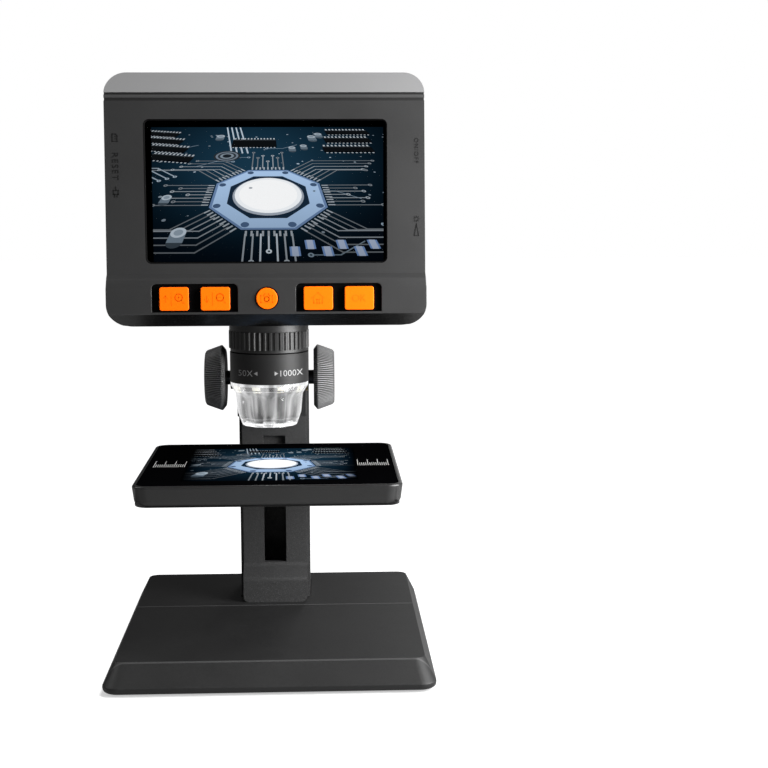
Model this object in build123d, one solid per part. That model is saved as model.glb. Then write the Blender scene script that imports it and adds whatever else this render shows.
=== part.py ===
from build123d import *
from math import cos, pi, radians, sin, sqrt, tan
import os

# Desk microscope with a built-in 4.3 inch screen. Millimetres. +X is the user's right, +Y points away
# from the user and +Z up. The origin lies on the desk, under the middle of the base.

# ---------------------------------------------------------------- clearances that many pieces share
seam = 0.2              # parting line between two fixed covers
slip = 0.3              # between a moving piece and what guides it loosely
running = 0.05          # radial clearance of a shaft, sleeve or bolt that turns
thread = 0.02           # radial gap of a screw or pressed shaft in its hole
edge_fit = 0.1          # round a plate that lies in a recess

# ---------------------------------------------------------------- driving sizes: base
base_width = 137.8
base_depth = 160.0
base_top = 12.4         # height of the covers' flat top above the desk
base_lip = 2.8          # upright edge below the bevel
base_wall = 2.2
base_corner = 7.0
base_top_corner = 4.8
bevel_front = 8.3
bevel_side = 4.4
foot_proud = 0.8        # the covers' lower edge stands this far above the desk
foot_radius = 7.0
foot_sunk = 0.5         # depth of the foot's seat in the bottom plate
foot_in_x = 15.0        # from the side of the base to the middle of a foot
foot_in_y = 16.0
bottom_plate_thick = 1.5
weight_thick = 6.0
weight_gap = 4.5        # between the weight and the screw bosses
weight_in_y = 17.0      # from the front and back edges of the base to the weight
weight_corner = 3.0
seam_from_foot = 5.4    # from the column's foot to the line where the two covers meet
boss_radius = 3.5
boss_in = 14.9          # from the side of the base to the middle of a screw boss
boss_seam_in = 10.0     # from the seam to the inner bosses
boss_from_foot = 3.0    # room between a foot and the nearest screw head
screw_radius = 1.5
screw_head_radius = 2.8
screw_head_high = 1.6
screw_room = 1.2        # least metal beside a screw
screw_tip = 1.0         # hole left beyond a screw's end
base_screw_long = 7.4
base_head_high = 0.5

# ---------------------------------------------------------------- driving sizes: column
column_front = 27.25    # front face of the plate that the stage slides on
front_plate_thick = 3.0
front_plate_width = 30.0
front_plate_grip = 5.6  # how far the front plate overlaps the middle spacer
channel_width = 32.8
channel_depth = 32.0
channel_wall = 2.4
channel_corner = 3.0
column_high = 205.0
column_cap_thick = 3.0
column_cap_corner = 2.0
column_cap_edge = 1.2
plug_deep = 2.0         # how far the cap's plug goes into the channel
bend_top = 16.2         # above the covers: the plate bends towards the user below this height
bend_drop = 4.8
bend_forward = 7.55
bend_radius = 2.5
foot_corner = 2.5
tenon_deep = 4.0        # how far the foot's pins go into the weight
slot_width = 10.4
slot_play_low = 3.3     # room for the stage's neck beyond its travel
slot_play_high = 0.65
spacer_gap = 1.0        # between a spacer and the clamp plate at the end of its travel
spacer_mid_high = 15.5
spacer_top_high = 13.0
stud_radius = 1.5
stud_long = 6.0
stud_in = 2.9           # from a plate's end to the middle of its studs
rear_screw_long = 14.0
rear_screw_x = 8.0
column_bolt_in = 8.0    # from the channel's front and back to the bolts from below
column_bolt_grip = 8.0  # how far they go into the lowest spacer

# ---------------------------------------------------------------- driving sizes: rail, rack and pinion
gear_module = 1.0
gear_teeth = 14
gear_half = 4.4         # half the width of the pinion
pressure_angle = 20.0
tooth_play = 0.32       # taken off each tooth's thickness, for backlash
rack_addendum = 1.0     # the next three in modules
pinion_addendum = 0.9
dedendum = 1.25
shaft_from_column = 22.25   # from the front plate forwards to the knobs' shaft
shaft_drop = 28.0       # from the head's underside down to the shaft
shaft_radius = 3.2
rack_half = 4.5
rack_back = 2.75        # solid stock behind the rack's teeth
rail_half = 7.0
rail_depth = 7.5
rail_neck_half = 4.0
rail_neck_depth = 5.25
rail_end = 2.0          # from the top of the rail to the top of the column

# ---------------------------------------------------------------- driving sizes: carriage and knobs
carriage_half = 15.3
carriage_below = 16.4   # from the shaft down to the carriage's lower end
carriage_above = 43.0   # from the head's underside up to its upper end
carriage_shoulder = 3.0
carriage_chamfer = 6.0
carriage_edge = 1.5
carriage_cover_thick = 2.0
carriage_cover_half = 11.0
carriage_cover_high = 26.0
carriage_gap = 0.5      # between the carriage and the column
cover_screw_radius = 1.0
cover_head_radius = 1.9
cover_head_high = 1.0
cover_screw_in = 2.4
cover_screw_long = 6.0
gear_room = 1.5         # round the pinion's pitch circle
bush_radius = 4.8
bush_long = 6.0
bush_flange_radius = 6.2
bush_flange_thick = 1.0
collar_radius = 5.2
collar_thick = 2.2
knob_thick = 9.3
knob_ridge = 1.9        # from the inner face to the widest ring
knob_radius = 14.8
knob_inner_radius = 12.9
knob_outer_radius = 12.3
knob_edge = 0.8
knob_rim = 3.0          # ring round the dish in the outer face
knob_dish_deep = 0.6
knob_teeth = 72
knob_tooth_deep = 0.45
left_knob_gap = 2.0     # between the collar and the left knob
right_knob_gap = 2.6    # between the bush and the right knob
knob_screw_radius = 3.4
knob_screw_proud = 0.5
bracket_screw_x = 9.0
bracket_screw_low = 11.0    # above the head's underside
bracket_screw_high = 35.0
bracket_screw_long = 12.0

# ---------------------------------------------------------------- driving sizes: stage
stage_width = 110.2
stage_depth = 106.2
stage_gap = 0.15        # between the stage and the column's front plate
stage_top = 87.0
stage_thick = 9.0
stage_corner = 6.5
stage_edge_low = 2.6
stage_edge_top = 1.1
stage_deck = 2.6        # glass and the deck under it
stage_wall = 2.5
stage_inner_corner = 2.5
stage_rim = 1.8         # frame left standing round the glass
stage_glass_thick = 1.1
bracket_neck_high = 7.7
bracket_neck_below = 1.0    # from the stage's top to the top of the neck
bracket_tongue_half = 16.0
bracket_tongue_long = 28.0
bracket_tongue_thick = 4.5
bracket_plate_high = 24.0
bracket_plate_above = 5.0   # from the stage's top to the top of the plate in the column
bracket_plate_thick = 5.0
bracket_screw_in = 4.5      # from the tongue's edges to its screws
deck_screw_bite = 1.2
stage_screw_head = 1.4
clamp_block_wide = 10.0
clamp_block_deep = 15.6
clamp_block_high = 12.0
clamp_y_in = 8.6        # from the bracket plate's back to the middle of the clamp bolt
stage_drop = 45.0       # how far the stage can slide down and up
stage_rise = 4.0
clamp_bolt_radius = 3.0
clamp_bolt_end = 4.0    # solid end of the knob beyond the bolt
clamp_slot_room = 0.4
clamp_washer_radius = 5.6
clamp_washer_thick = 1.2
clamp_knob_radius = 7.6
clamp_knob_long = 12.0
clamp_knob_edge = 1.2
clamp_lobes = 6
clamp_hollow = 2.6

# ---------------------------------------------------------------- driving sizes: head housing
head_bottom = 149.0     # height of the head's underside above the desk
head_width = 130.4
head_front = -52.4
head_depth = 40.0
head_wall = 2.2
head_corner_top = 8.0
head_corner_bottom = 9.5
back_round = 4.0
chin_step = 1.2         # the key strip stands proud of the screen's face
chin_top = 22.1         # above the head's underside, as are the next heights of the head
chin_slope = 2.1
chin_low = 5.3
rim_run = 5.2
bezel_split = 4.6       # from the face to the line where the front bezel ends
top_band_high = 8.65
top_band_run = 10.0
bead_high = 1.2         # bead and grooves that finish the bezel's upper edge
groove_high = 1.2
upper_groove_high = 0.95
groove_deep = 0.6
housing_screw_in_x = 8.2
housing_screw_in_low = 9.0
housing_screw_in_high = 12.0
housing_boss_radius = 3.2
housing_screw_radius = 1.25
housing_head_radius = 2.5
housing_head_high = 1.4
housing_screw_long = 10.0
housing_screw_room = 0.2
vent_count = 6
vent_width = 26.0
vent_high = 1.6
vent_pitch = 4.4
vent_z = 67.0
vent_x = 38.0

# ---------------------------------------------------------------- driving sizes: screen and boards
screen_opening_width = 98.3
screen_opening_high = 57.6
screen_opening_x = 0.2
face_below_screen = 4.7     # from the key strip to the opening
face_above_screen = 11.35   # from the opening to the top band
screen_opening_corner = 1.8
window_overlap = 1.5
window_thick = 1.0
lcd_margin_x = 3.3      # of the panel round the screen's opening
lcd_margin_z = 4.4
lcd_shift_x = 0.75
lcd_drop = 1.2
lcd_thick = 2.6
lcd_frame_thick = 0.8
standoff_radius = 2.4
standoff_long = 2.4
standoff_in = 9.0
board_thick = 1.6
board_side_gap = 4.1    # between the board and the housing's side wall
board_less_z = 2.5      # the board is less high than the panel
battery_width = 56.0
battery_high = 50.0
battery_thick = 6.0
battery_corner = 2.0

# ---------------------------------------------------------------- driving sizes: keys
key_width = 12.1
key_high = 9.7
key_corner = 1.0
key_edge = 0.35
key_z = 11.8
key_inner_x = 21.2
key_gap = 4.85          # between two square keys
key_proud = 0.8
key_cap_thick = 2.1
key_travel = 0.6
key_play = 0.15         # between a key's flange and the wall in front of it
key_stem_width = 8.4
key_stem_high = 6.4
key_flange_grow = 1.2
key_flange_thick = 0.6
round_key_radius = 4.45
round_key_edge = 0.4
round_key_flange = 1.0
round_key_flange_thick = 0.75
round_plunger_radius = 2.5
pocket_inner_room = 3.15    # from the pocket's ends to the keys
pocket_outer_room = 3.2
pocket_top = 17.9
pocket_deep = 2.0
pocket_floor = 1.6
pocket_wall = 1.5
pocket_corner = 2.0
key_board_thick = 1.0
key_board_width = 92.0
key_board_high = 10.0
key_switch_size = 6.0
key_switch_thick = 1.2
key_switch_gap = 0.1
key_boss_radius = 2.2

# ---------------------------------------------------------------- driving sizes: controls and sockets
wheel_radius = 7.3
wheel_thick = 2.6
wheel_out = 1.15        # how far the thumbwheel stands out of the side
wheel_z = 39.6
wheel_from_board = 1.5
wheel_shaft_radius = 1.2
wheel_shaft_end = 0.4
wheel_room = 0.8
wheel_teeth = 36
wheel_tooth_deep = 0.4
dimmer_base_high = 9.0
dimmer_base_long = 7.0
dimmer_base_thick = 1.2
switch_z = 70.3
switch_travel = 4.0
switch_body_high = 10.0
switch_body_deep = 5.0
switch_body_long = 8.0
switch_knob_high = 3.2
switch_knob_deep = 2.4
switch_sunk = 0.3
switch_flange_thick = 0.7
switch_flange_grow = 1.0
switch_play = 0.15
card_below_top = 26.4
card_high = 13.0
card_deep = 2.2
usb_below_top = 49.6
usb_high = 7.8
usb_deep = 3.0
reset_below_top = 38.8
reset_hole_radius = 0.8
reset_body_high = 4.5
reset_body_deep = 3.0
reset_body_long = 4.0
reset_plunger_radius = 1.2
reset_plunger_gap = 0.6     # between the plunger and the side wall
socket_long = 9.0
socket_wall = 0.5
socket_back = 1.0

# ---------------------------------------------------------------- driving sizes: lens tube
tube_room = 3.2         # between the sleeve's flange and the housing's back wall
collar_gap = 0.1
tube_collar_high = 2.8
tube_collar_radius = 16.9
grip_radius = 17.1
grip_high = 9.3
grip_play = 0.15
grip_edge = 1.6
grip_ribs = 45
grip_rib_deep = 0.55
band_radius = 16.75
band_high = 12.7
sleeve_radius = 13.5
sleeve_bore = 11.8
sleeve_flange = 14.8
sleeve_flange_thick = 2.0
barrel_travel = 3.0     # up and down
barrel_room = 1.0       # left at both ends of the travel
barrel_nose_radius = 8.4
barrel_bore = 6.0
lens_thick = 3.0
lens_in = 0.6
sensor_board_size = 20.0
sensor_board_thick = 1.4
sensor_size = 8.0
sensor_high = 1.0
led_board_thick = 1.2
led_count = 8
led_ring_radius = 11.9
led_size = 2.6
led_high = 1.1
cap_top_radius = 16.6
cap_rim_high = 1.6
cap_shoulder_radius = 14.5
cap_shoulder_drop = 5.1     # these heights are below the band
cap_waist_radius = 13.75
cap_waist_drop = 13.2
cap_bottom_radius = 11.7
cap_high = 18.8
cap_wall = 1.5
cap_flutes = 8
cap_flute_radius = 3.4
cap_flute_deep = 0.7
cap_opening = 9.4

# ---------------------------------------------------------------- places worked out from the sizes
base_bevel_low = foot_proud + base_lip
plate_high = foot_proud + bottom_plate_thick
weight_high = plate_high + weight_thick
channel_front = column_front + front_plate_thick
channel_back = channel_front + channel_depth
channel_inner_half = channel_width / 2 - channel_wall
channel_inner_back = channel_back - channel_wall
foot_front = column_front - bend_forward
foot_mid_y = foot_front + front_plate_thick / 2
seam_y = foot_front - seam_from_foot
column_bolt_x = rear_screw_x - 2 * screw_radius - screw_room
plug_low = column_high - plug_deep

bracket_neck_top = stage_top - bracket_neck_below
bracket_neck_low = bracket_neck_top - bracket_neck_high
bracket_plate_top = stage_top + bracket_plate_above
bracket_plate_low = bracket_plate_top - bracket_plate_high
bracket_plate_front = channel_front + stage_gap
bracket_plate_back = bracket_plate_front + bracket_plate_thick
stage_back = column_front - stage_gap
stage_mid_y = stage_back - stage_depth / 2
stage_deck_z = stage_top - stage_deck
tongue_end = stage_back - stage_wall - stage_rim - slip
clamp_y = bracket_plate_back + clamp_y_in
clamp_z = bracket_plate_low + clamp_block_high / 2
clamp_side = channel_inner_half - slip
clamp_face = channel_width / 2 + running
clamp_knob_start = clamp_face + clamp_washer_thick
clamp_knob_end = clamp_knob_start + clamp_knob_long

spacer_mid_low = bracket_plate_top + stage_rise + spacer_gap
front_plate_top = spacer_mid_low + front_plate_grip
rail_low = front_plate_top + seam
rail_top = column_high - rail_end

shaft_y = column_front - shaft_from_column
shaft_z = head_bottom - shaft_drop
pitch_radius = gear_module * gear_teeth / 2
tooth_pitch = gear_module * pi
rack_pitch_y = shaft_y + pitch_radius
rack_tip_y = rack_pitch_y - rack_addendum * gear_module
rack_root_y = rack_pitch_y + dedendum * gear_module
rack_rear_y = rack_root_y + rack_back
rail_rear = column_front - rail_neck_depth
rail_front = rail_rear - rail_depth
gear_space = pitch_radius + gear_room
cover_back_y = shaft_y - gear_space
nose_y = cover_back_y - carriage_cover_thick
carriage_back = column_front - carriage_gap
collar_inner = carriage_half + bush_flange_thick + edge_fit
left_knob_in = collar_inner + collar_thick + left_knob_gap
right_knob_in = carriage_half + bush_flange_thick + right_knob_gap
left_knob_out = left_knob_in + knob_thick
right_knob_out = right_knob_in + knob_thick

screen_opening_z = chin_top + face_below_screen + screen_opening_high / 2
head_high = screen_opening_z + screen_opening_high / 2 + face_above_screen + top_band_high
card_z = head_high - card_below_top
reset_z = head_high - reset_below_top
usb_z = head_high - usb_below_top
head_back = head_front + head_depth
head_inner_back = head_back - head_wall
head_top = head_bottom + head_high
head_half = head_width / 2
inner_side = head_half - head_wall
inner_face = head_front + head_wall
chin_y = head_front - chin_step
chin_inner_y = chin_y + head_wall
split_y = head_front + bezel_split
top_band_low = head_top - top_band_high
bezel_top = top_band_low - upper_groove_high
key_mid_z = head_bottom + key_z
key_front_y = chin_y - key_proud
pocket_floor_y = chin_y + pocket_deep
pocket_back_y = pocket_floor_y + pocket_floor
flange_back_y = pocket_back_y + key_play + key_flange_thick
switch_front_y = flange_back_y + key_travel + key_switch_gap
key_board_front = switch_front_y + key_switch_thick
key_outer_x = key_inner_x + key_width + key_gap
key_boss_x = (key_inner_x + key_outer_x) / 2
pocket_inner_x = key_inner_x - key_width / 2 - pocket_inner_room
pocket_outer_x = key_outer_x + key_width / 2 + pocket_outer_room

screen_mid_z = head_bottom + screen_opening_z
lcd_back = inner_face + lcd_thick
board_front = lcd_back + lcd_frame_thick + standoff_long
board_back = board_front + board_thick

tube_y = head_inner_back - sleeve_flange - tube_room
collar_top = head_bottom - collar_gap
grip_top = collar_top - tube_collar_high
grip_bottom = grip_top - grip_high
band_bottom = grip_bottom - band_high
cap_bottom = band_bottom - cap_high
sleeve_top = head_bottom + head_wall + sleeve_flange_thick
barrel_top = sleeve_top - sensor_high - barrel_travel - barrel_room
barrel_step = band_bottom + barrel_travel + barrel_room
barrel_bottom = cap_bottom + barrel_travel + barrel_room


# ---------------------------------------------------------------- shapes that several pieces use
def block(x, y, z):
    """A box between the lowest and highest x, y and z."""
    middle = Pos((x[0] + x[1]) / 2, (y[0] + y[1]) / 2, (z[0] + z[1]) / 2)
    return middle * Box(x[1] - x[0], y[1] - y[0], z[1] - z[0])


def post(x, y, z, radius):
    """A round post that stands from z[0] to z[1]."""
    return Pos(x, y, (z[0] + z[1]) / 2) * Cylinder(radius, z[1] - z[0])


def rod_x(x, y, z, radius):
    """A round rod along X from x[0] to x[1]."""
    return Pos((x[0] + x[1]) / 2, y, z) * Rot(0, 90, 0) * Cylinder(radius, x[1] - x[0])


def rod_y(x, y, z, radius):
    """A round rod along Y from y[0] to y[1]."""
    return Pos(x, (y[0] + y[1]) / 2, z) * Rot(90, 0, 0) * Cylinder(radius, y[1] - y[0])


def slab(width, depth, z, corner, middle=(0, 0)):
    """A plate that lies flat, with rounded corners, from z[0] to z[1]."""
    outline = RectangleRounded(width, depth, corner)
    return Pos(middle[0], middle[1], z[0]) * extrude(outline, z[1] - z[0])


def panel(x, z, y, corner):
    """An upright plate that faces the user, with rounded corners, from y[0] to y[1]."""
    outline = RectangleRounded(x[1] - x[0], z[1] - z[0], corner)
    placed = Plane.XZ * Pos((x[0] + x[1]) / 2, (z[0] + z[1]) / 2) * outline
    return Pos(0, y[1], 0) * extrude(placed, y[1] - y[0])


def turned(points):
    """A ring or disc turned about the lens axis, from radius and height points."""
    return Pos(0, tube_y, 0) * revolve(Plane.XZ * Polygon(*points, align=None), Axis.Z)


def ring(outer, inner, z):
    """A plain ring about the lens axis."""
    return turned([(inner, z[0]), (outer, z[0]), (outer, z[1]), (inner, z[1])])


def toothed_outline(radius, depth, count):
    """A round outline with count small ribs, depth high."""
    points = []
    for i in range(count):
        for share, level in ((0.0, 0), (0.3, 0), (0.5, 1), (0.8, 1)):
            angle = 2 * pi * (i + share) / count
            reach = radius - depth * level
            points.append((reach * cos(angle), reach * sin(angle)))
    return Polygon(*points, align=None)


def mirrored(shape):
    """The shape and its mirror image about the middle plane."""
    return shape + mirror(shape, Plane.YZ)


def pairs(x, others):
    """Places at minus and plus x, for each of the other coordinates."""
    return [(side * x, other) for other in others for side in (-1, 1)]


def around(middle, size):
    """The range of a size about its middle."""
    return middle - size / 2, middle + size / 2


def grown(span, by):
    """A range made longer by the same amount at both ends."""
    return span[0] - by, span[1] + by


def rounded_corners(profile, places, radius):
    """The flat profile with its corners at these y and z places rounded."""
    for y, z in places:
        corner = profile.vertices().sort_by_distance((y, z, 0))[0]
        profile = fillet(corner, radius)
    return profile


# ---------------------------------------------------------------- base
boss_x = base_width / 2 - boss_in
boss_end_y = base_depth / 2 - foot_in_y - foot_radius - boss_from_foot - screw_head_radius
front_bosses = pairs(boss_x, (-boss_end_y, seam_y - boss_seam_in))
rear_bosses = pairs(boss_x, (seam_y + boss_seam_in, boss_end_y))
column_bolts = pairs(column_bolt_x, (channel_front + column_bolt_in, channel_inner_back - column_bolt_in))
foot_pins = pairs(rear_screw_x, (foot_mid_y,))
foot_places = pairs(base_width / 2 - foot_in_x, around(0, base_depth - 2 * foot_in_y))


def base_form(inset=0.0):
    """The covers' outer form, or with an inset the room inside them."""
    width = base_width - 2 * inset
    depth = base_depth - 2 * inset
    radius = base_corner - min(inset, base_corner / 2)
    top_width = width - 2 * bevel_side
    top_depth = depth - bevel_front - bevel_side
    top_middle = (bevel_front - bevel_side) / 2
    lip = slab(width, depth, (foot_proud, base_bevel_low), radius)
    lower = Pos(0, 0, base_bevel_low) * RectangleRounded(width, depth, radius)
    upper = Pos(0, top_middle, base_top - inset) * RectangleRounded(top_width, top_depth, base_top_corner)
    return lip + loft([lower, upper])


def base_cover(y_range, bosses):
    """One of the two covers: a shell with bosses for the screws from below."""
    shell = (base_form() - base_form(base_wall)) & block(around(0, base_width), y_range, (0, base_top))
    ceiling = base_top - base_wall
    for x, y in bosses:
        shell += post(x, y, (plate_high, ceiling), boss_radius)
        shell -= post(x, y, (plate_high, foot_proud + base_screw_long + screw_tip), screw_radius + thread)
    return shell


def base_front_cover():
    return base_cover((-base_depth / 2, seam_y - seam / 2), front_bosses)


def base_rear_cover():
    cover = base_cover((seam_y + seam / 2, base_depth / 2), rear_bosses)
    through = (plate_high, base_top)
    channel_y = (channel_front - slip, channel_back + slip)
    cover -= block(around(0, channel_width + 2 * slip), channel_y, through)
    for x, y in foot_pins:
        cover -= post(x, y, through, stud_radius + slip)
    return cover


def bottom_plate():
    inset = base_wall + slip
    z = (foot_proud, plate_high)
    plate = slab(base_width - 2 * inset, base_depth - 2 * inset, z, base_corner - inset / 2)
    for x, y in front_bosses + rear_bosses + column_bolts:
        plate -= post(x, y, z, screw_radius + thread)
    for x, y in foot_places:
        plate -= post(x, y, (foot_proud, foot_proud + foot_sunk), foot_radius)
    return plate


def base_weight():
    width = 2 * (boss_x - boss_radius - weight_gap)
    z = (plate_high, weight_high)
    weight = slab(width, base_depth - 2 * weight_in_y, z, weight_corner)
    for x, y in column_bolts:
        weight -= post(x, y, z, screw_radius + thread)
    for x, y in foot_pins:
        weight -= post(x, y, (weight_high - tenon_deep, weight_high), stud_radius + thread)
    return weight


def rubber_feet():
    feet = [post(x, y, (0, foot_proud + foot_sunk), foot_radius) for x, y in foot_places]
    return Compound(children=feet)


def upward_screw(x, y, long):
    """A flat-headed screw through the bottom plate from below."""
    shank = post(x, y, (foot_proud, foot_proud + long), screw_radius)
    return shank + post(x, y, (foot_proud - base_head_high, foot_proud), screw_head_radius)


def base_screws():
    screws = [upward_screw(x, y, base_screw_long) for x, y in front_bosses + rear_bosses]
    long = weight_high - foot_proud + column_bolt_grip
    screws += [upward_screw(x, y, long) for x, y in column_bolts]
    return Compound(children=screws)


# ---------------------------------------------------------------- column
spacer_levels = (
    (weight_high, bracket_plate_low - stage_drop - spacer_gap),
    (spacer_mid_low, spacer_mid_low + spacer_mid_high),
    (plug_low - spacer_top_high, plug_low),
)
rear_screw_levels = [base_top + screw_head_radius + screw_room]
rear_screw_levels += [(low + high) / 2 for low, high in spacer_levels[1:]]
rear_screw_places = pairs(rear_screw_x, rear_screw_levels)
plate_studs_z = front_plate_top - stud_in
rail_studs_z = (rail_low + stud_in, plug_low - spacer_top_high / 2)
channel_inside = around(0, 2 * channel_inner_half)


def column_channel():
    """Folded sheet, open to the front, with a slot in its left side for the clamp bolt."""
    z = (weight_high, column_high)
    outer = block(around(0, channel_width), (channel_front, channel_back), z)
    back_edges = outer.edges().filter_by(Axis.Z).sort_by(Axis.Y)[-2:]
    channel = fillet(back_edges, channel_corner)
    channel -= block(channel_inside, (channel_front, channel_inner_back), z)
    slot = clamp_bolt_radius + clamp_slot_room
    slot_z = (clamp_z - stage_drop - slot, clamp_z + stage_rise + slot)
    left_wall = (-channel_width / 2, -channel_inner_half)
    channel -= block(left_wall, around(clamp_y, 2 * slot), slot_z)
    for x, z in rear_screw_places:
        channel -= rod_y(x, (channel_inner_back, channel_back), z, screw_radius + thread)
    return channel


def studs(z, radius=stud_radius):
    """A pair of studs on the back of a plate, or with a larger radius the holes for them."""
    return mirrored(rod_y(rear_screw_x, (channel_front, channel_front + stud_long), z, radius))


def column_front_plate():
    """Thick sheet with a long slot. Its foot is bent towards the user and is pinned to the weight."""
    bend_high = base_top + bend_top
    bend_low = bend_high - bend_drop
    foot_back = foot_front + front_plate_thick
    slope = sqrt(bend_drop ** 2 + bend_forward ** 2)
    mitre = front_plate_thick * (slope - bend_drop) / bend_forward
    front_bends = [(column_front, bend_high), (foot_front, bend_low)]
    back_bends = [(foot_back, bend_low - mitre), (channel_front, bend_high - mitre)]
    outline = [(column_front, front_plate_top), *front_bends, (foot_front, base_top)]
    outline += [(foot_back, base_top), *back_bends, (channel_front, front_plate_top)]
    profile = rounded_corners(Polygon(*outline, align=None), front_bends + back_bends, bend_radius)
    plate = extrude(Plane.YZ * profile, front_plate_width / 2, both=True)
    foot_edges = plate.edges().filter_by(Axis.Y).sort_by(Axis.Z)[:2]
    plate = fillet(foot_edges, foot_corner)
    slot_z = (bracket_neck_low - stage_drop - slot_play_low, bracket_neck_top + stage_rise + slot_play_high)
    plate -= block(around(0, slot_width), (column_front, channel_front), slot_z)
    for x, y in foot_pins:
        plate += post(x, y, (weight_high - tenon_deep, base_top), stud_radius)
    return plate + studs(plate_studs_z)


def column_spacers():
    """Three blocks inside the channel that the plates and the rear screws are fixed to."""
    holes = []
    for x, z in rear_screw_places:
        deep = (channel_inner_back - rear_screw_long - screw_tip, channel_inner_back)
        holes.append(rod_y(x, deep, z, screw_radius + thread))
    for x, y in column_bolts:
        holes.append(post(x, y, (weight_high, weight_high + column_bolt_grip), screw_radius + thread))
    for z in (plate_studs_z, *rail_studs_z):
        holes.append(studs(z, stud_radius + thread))
    spacers = []
    for level in spacer_levels:
        spacers.append(block(channel_inside, (channel_front, channel_inner_back), level) - holes)
    return Compound(children=spacers)


def column_screws():
    screws = []
    for x, z in rear_screw_places:
        shank = rod_y(x, (channel_inner_back - rear_screw_long, channel_back), z, screw_radius)
        head = rod_y(x, (channel_back, channel_back + screw_head_high), z, screw_head_radius)
        screws.append(shank + head)
    return Compound(children=screws)


def column_cap():
    z = (column_high, column_high + column_cap_thick)
    cap = block(around(0, channel_width), (column_front, channel_back), z)
    cap = fillet(cap.edges().filter_by(Axis.Z), column_cap_corner)
    cap = fillet(cap.faces().sort_by(Axis.Z)[-1].edges(), column_cap_edge)
    return cap + block(channel_inside, (channel_front, channel_inner_back), (plug_low, column_high))


# ---------------------------------------------------------------- rail, rack and pinion
def column_rail():
    """The upper front plate with the T-shaped rail that guides the carriage."""
    z = (rail_low, rail_top)
    rail = block(around(0, front_plate_width), (column_front, channel_front), (rail_low, column_high))
    rail += block(around(0, 2 * rail_neck_half), (rail_rear, column_front), z)
    rail += block(around(0, 2 * rail_half), (rail_front, rail_rear), z)
    rail -= block(around(0, 2 * rack_half), (rail_front, rack_rear_y), z)
    for level in rail_studs_z:
        rail += studs(level)
    return rail


def tooth_half():
    """Half the thickness of a tooth on the pitch line."""
    return tooth_pitch / 4 - tooth_play / 2


def gear_rack():
    """Steel strip let into the rail; its gaps are in step with the pinion's teeth."""
    flank = tan(radians(pressure_angle)) * gear_module
    wide = tooth_half() + dedendum * flank
    narrow = tooth_half() - rack_addendum * flank
    first = -int((shaft_z - rail_low) / tooth_pitch - 1)
    last = int((rail_top - shaft_z) / tooth_pitch - 1)
    points = [(rack_rear_y, rail_low), (rack_root_y, rail_low)]
    for i in range(first, last):
        middle = shaft_z + (i + 0.5) * tooth_pitch
        points += [(rack_root_y, middle - wide), (rack_tip_y, middle - narrow)]
        points += [(rack_tip_y, middle + narrow), (rack_root_y, middle + wide)]
    points += [(rack_root_y, rail_top), (rack_rear_y, rail_top)]
    return extrude(Plane.YZ * Polygon(*points, align=None), rack_half, both=True)


def pinion_gear():
    """Pinion with straight flanks; one of its teeth points at the rack."""
    flank = tan(radians(pressure_angle))
    root = pitch_radius - dedendum * gear_module
    tip = pitch_radius + pinion_addendum * gear_module
    side = []
    for radius in (root, pitch_radius, tip):
        side.append((radius, (tooth_half() - (radius - pitch_radius) * flank) / radius))
    points = []
    for i in range(gear_teeth):
        middle = 2 * pi * i / gear_teeth
        for radius, angle in side:
            points.append((radius * cos(middle - angle), radius * sin(middle - angle)))
        for radius, angle in reversed(side):
            points.append((radius * cos(middle + angle), radius * sin(middle + angle)))
    gear = extrude(Plane.YZ * Polygon(*points, align=None), gear_half, both=True)
    gear -= rod_x(around(0, 2 * gear_half), 0, 0, shaft_radius + thread)
    return Pos(0, shaft_y, shaft_z) * gear


# ---------------------------------------------------------------- carriage
cover_z = around(shaft_z, carriage_cover_high)
cover_screw_places = pairs(carriage_cover_half - cover_screw_in, grown(cover_z, -cover_screw_in))
bracket_levels = (head_bottom + bracket_screw_low, head_bottom + bracket_screw_high)
bracket_screw_places = pairs(bracket_screw_x, bracket_levels)


def carriage_block():
    """Block that slides on the rail, holds the pinion shaft and carries the head on its upper face."""
    z = (shaft_z - carriage_below, head_bottom + carriage_above)
    shoulder = head_bottom + carriage_shoulder
    outline = [(nose_y, z[0]), (carriage_back, z[0]), (carriage_back, z[1])]
    outline += [(head_back, z[1]), (head_back, shoulder), (nose_y, shoulder - carriage_chamfer)]
    carriage = extrude(Plane.YZ * Polygon(*outline, align=None), carriage_half, both=True)
    front_edges = carriage.edges().filter_by(Axis.Z).group_by(Axis.Y)[0]
    carriage = fillet(front_edges, carriage_edge)
    carriage -= block(around(0, 2 * (rail_half + slip)), (rail_front - slip, rail_rear + slip), z)
    carriage -= block(around(0, 2 * (rail_neck_half + slip)), (rail_rear, carriage_back), z)
    carriage -= block(around(0, 2 * (rack_half + slip)), (rack_tip_y - slip, rail_front), z)
    gear_z = around(shaft_z, 2 * gear_space)
    carriage -= block(around(0, 2 * (gear_half + slip)), (cover_back_y, rail_front), gear_z)
    carriage -= block(around(0, 2 * carriage_cover_half), (nose_y, cover_back_y), cover_z)
    carriage -= rod_x(around(0, 2 * carriage_half), shaft_y, shaft_z, bush_radius)
    for x, z in bracket_screw_places:
        hole_y = (head_back, head_inner_back + bracket_screw_long)
        carriage -= rod_y(x, hole_y, z, screw_radius + thread)
    for x, z in cover_screw_places:
        hole_y = (cover_back_y, nose_y + cover_screw_long)
        carriage -= rod_y(x, hole_y, z, cover_screw_radius + thread)
    return carriage


def carriage_cover():
    x = around(0, 2 * (carriage_cover_half - edge_fit))
    cover = block(x, (nose_y, cover_back_y), grown(cover_z, -edge_fit))
    for x, z in cover_screw_places:
        cover -= rod_y(x, (nose_y, cover_back_y), z, cover_screw_radius + thread)
    return cover


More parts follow.
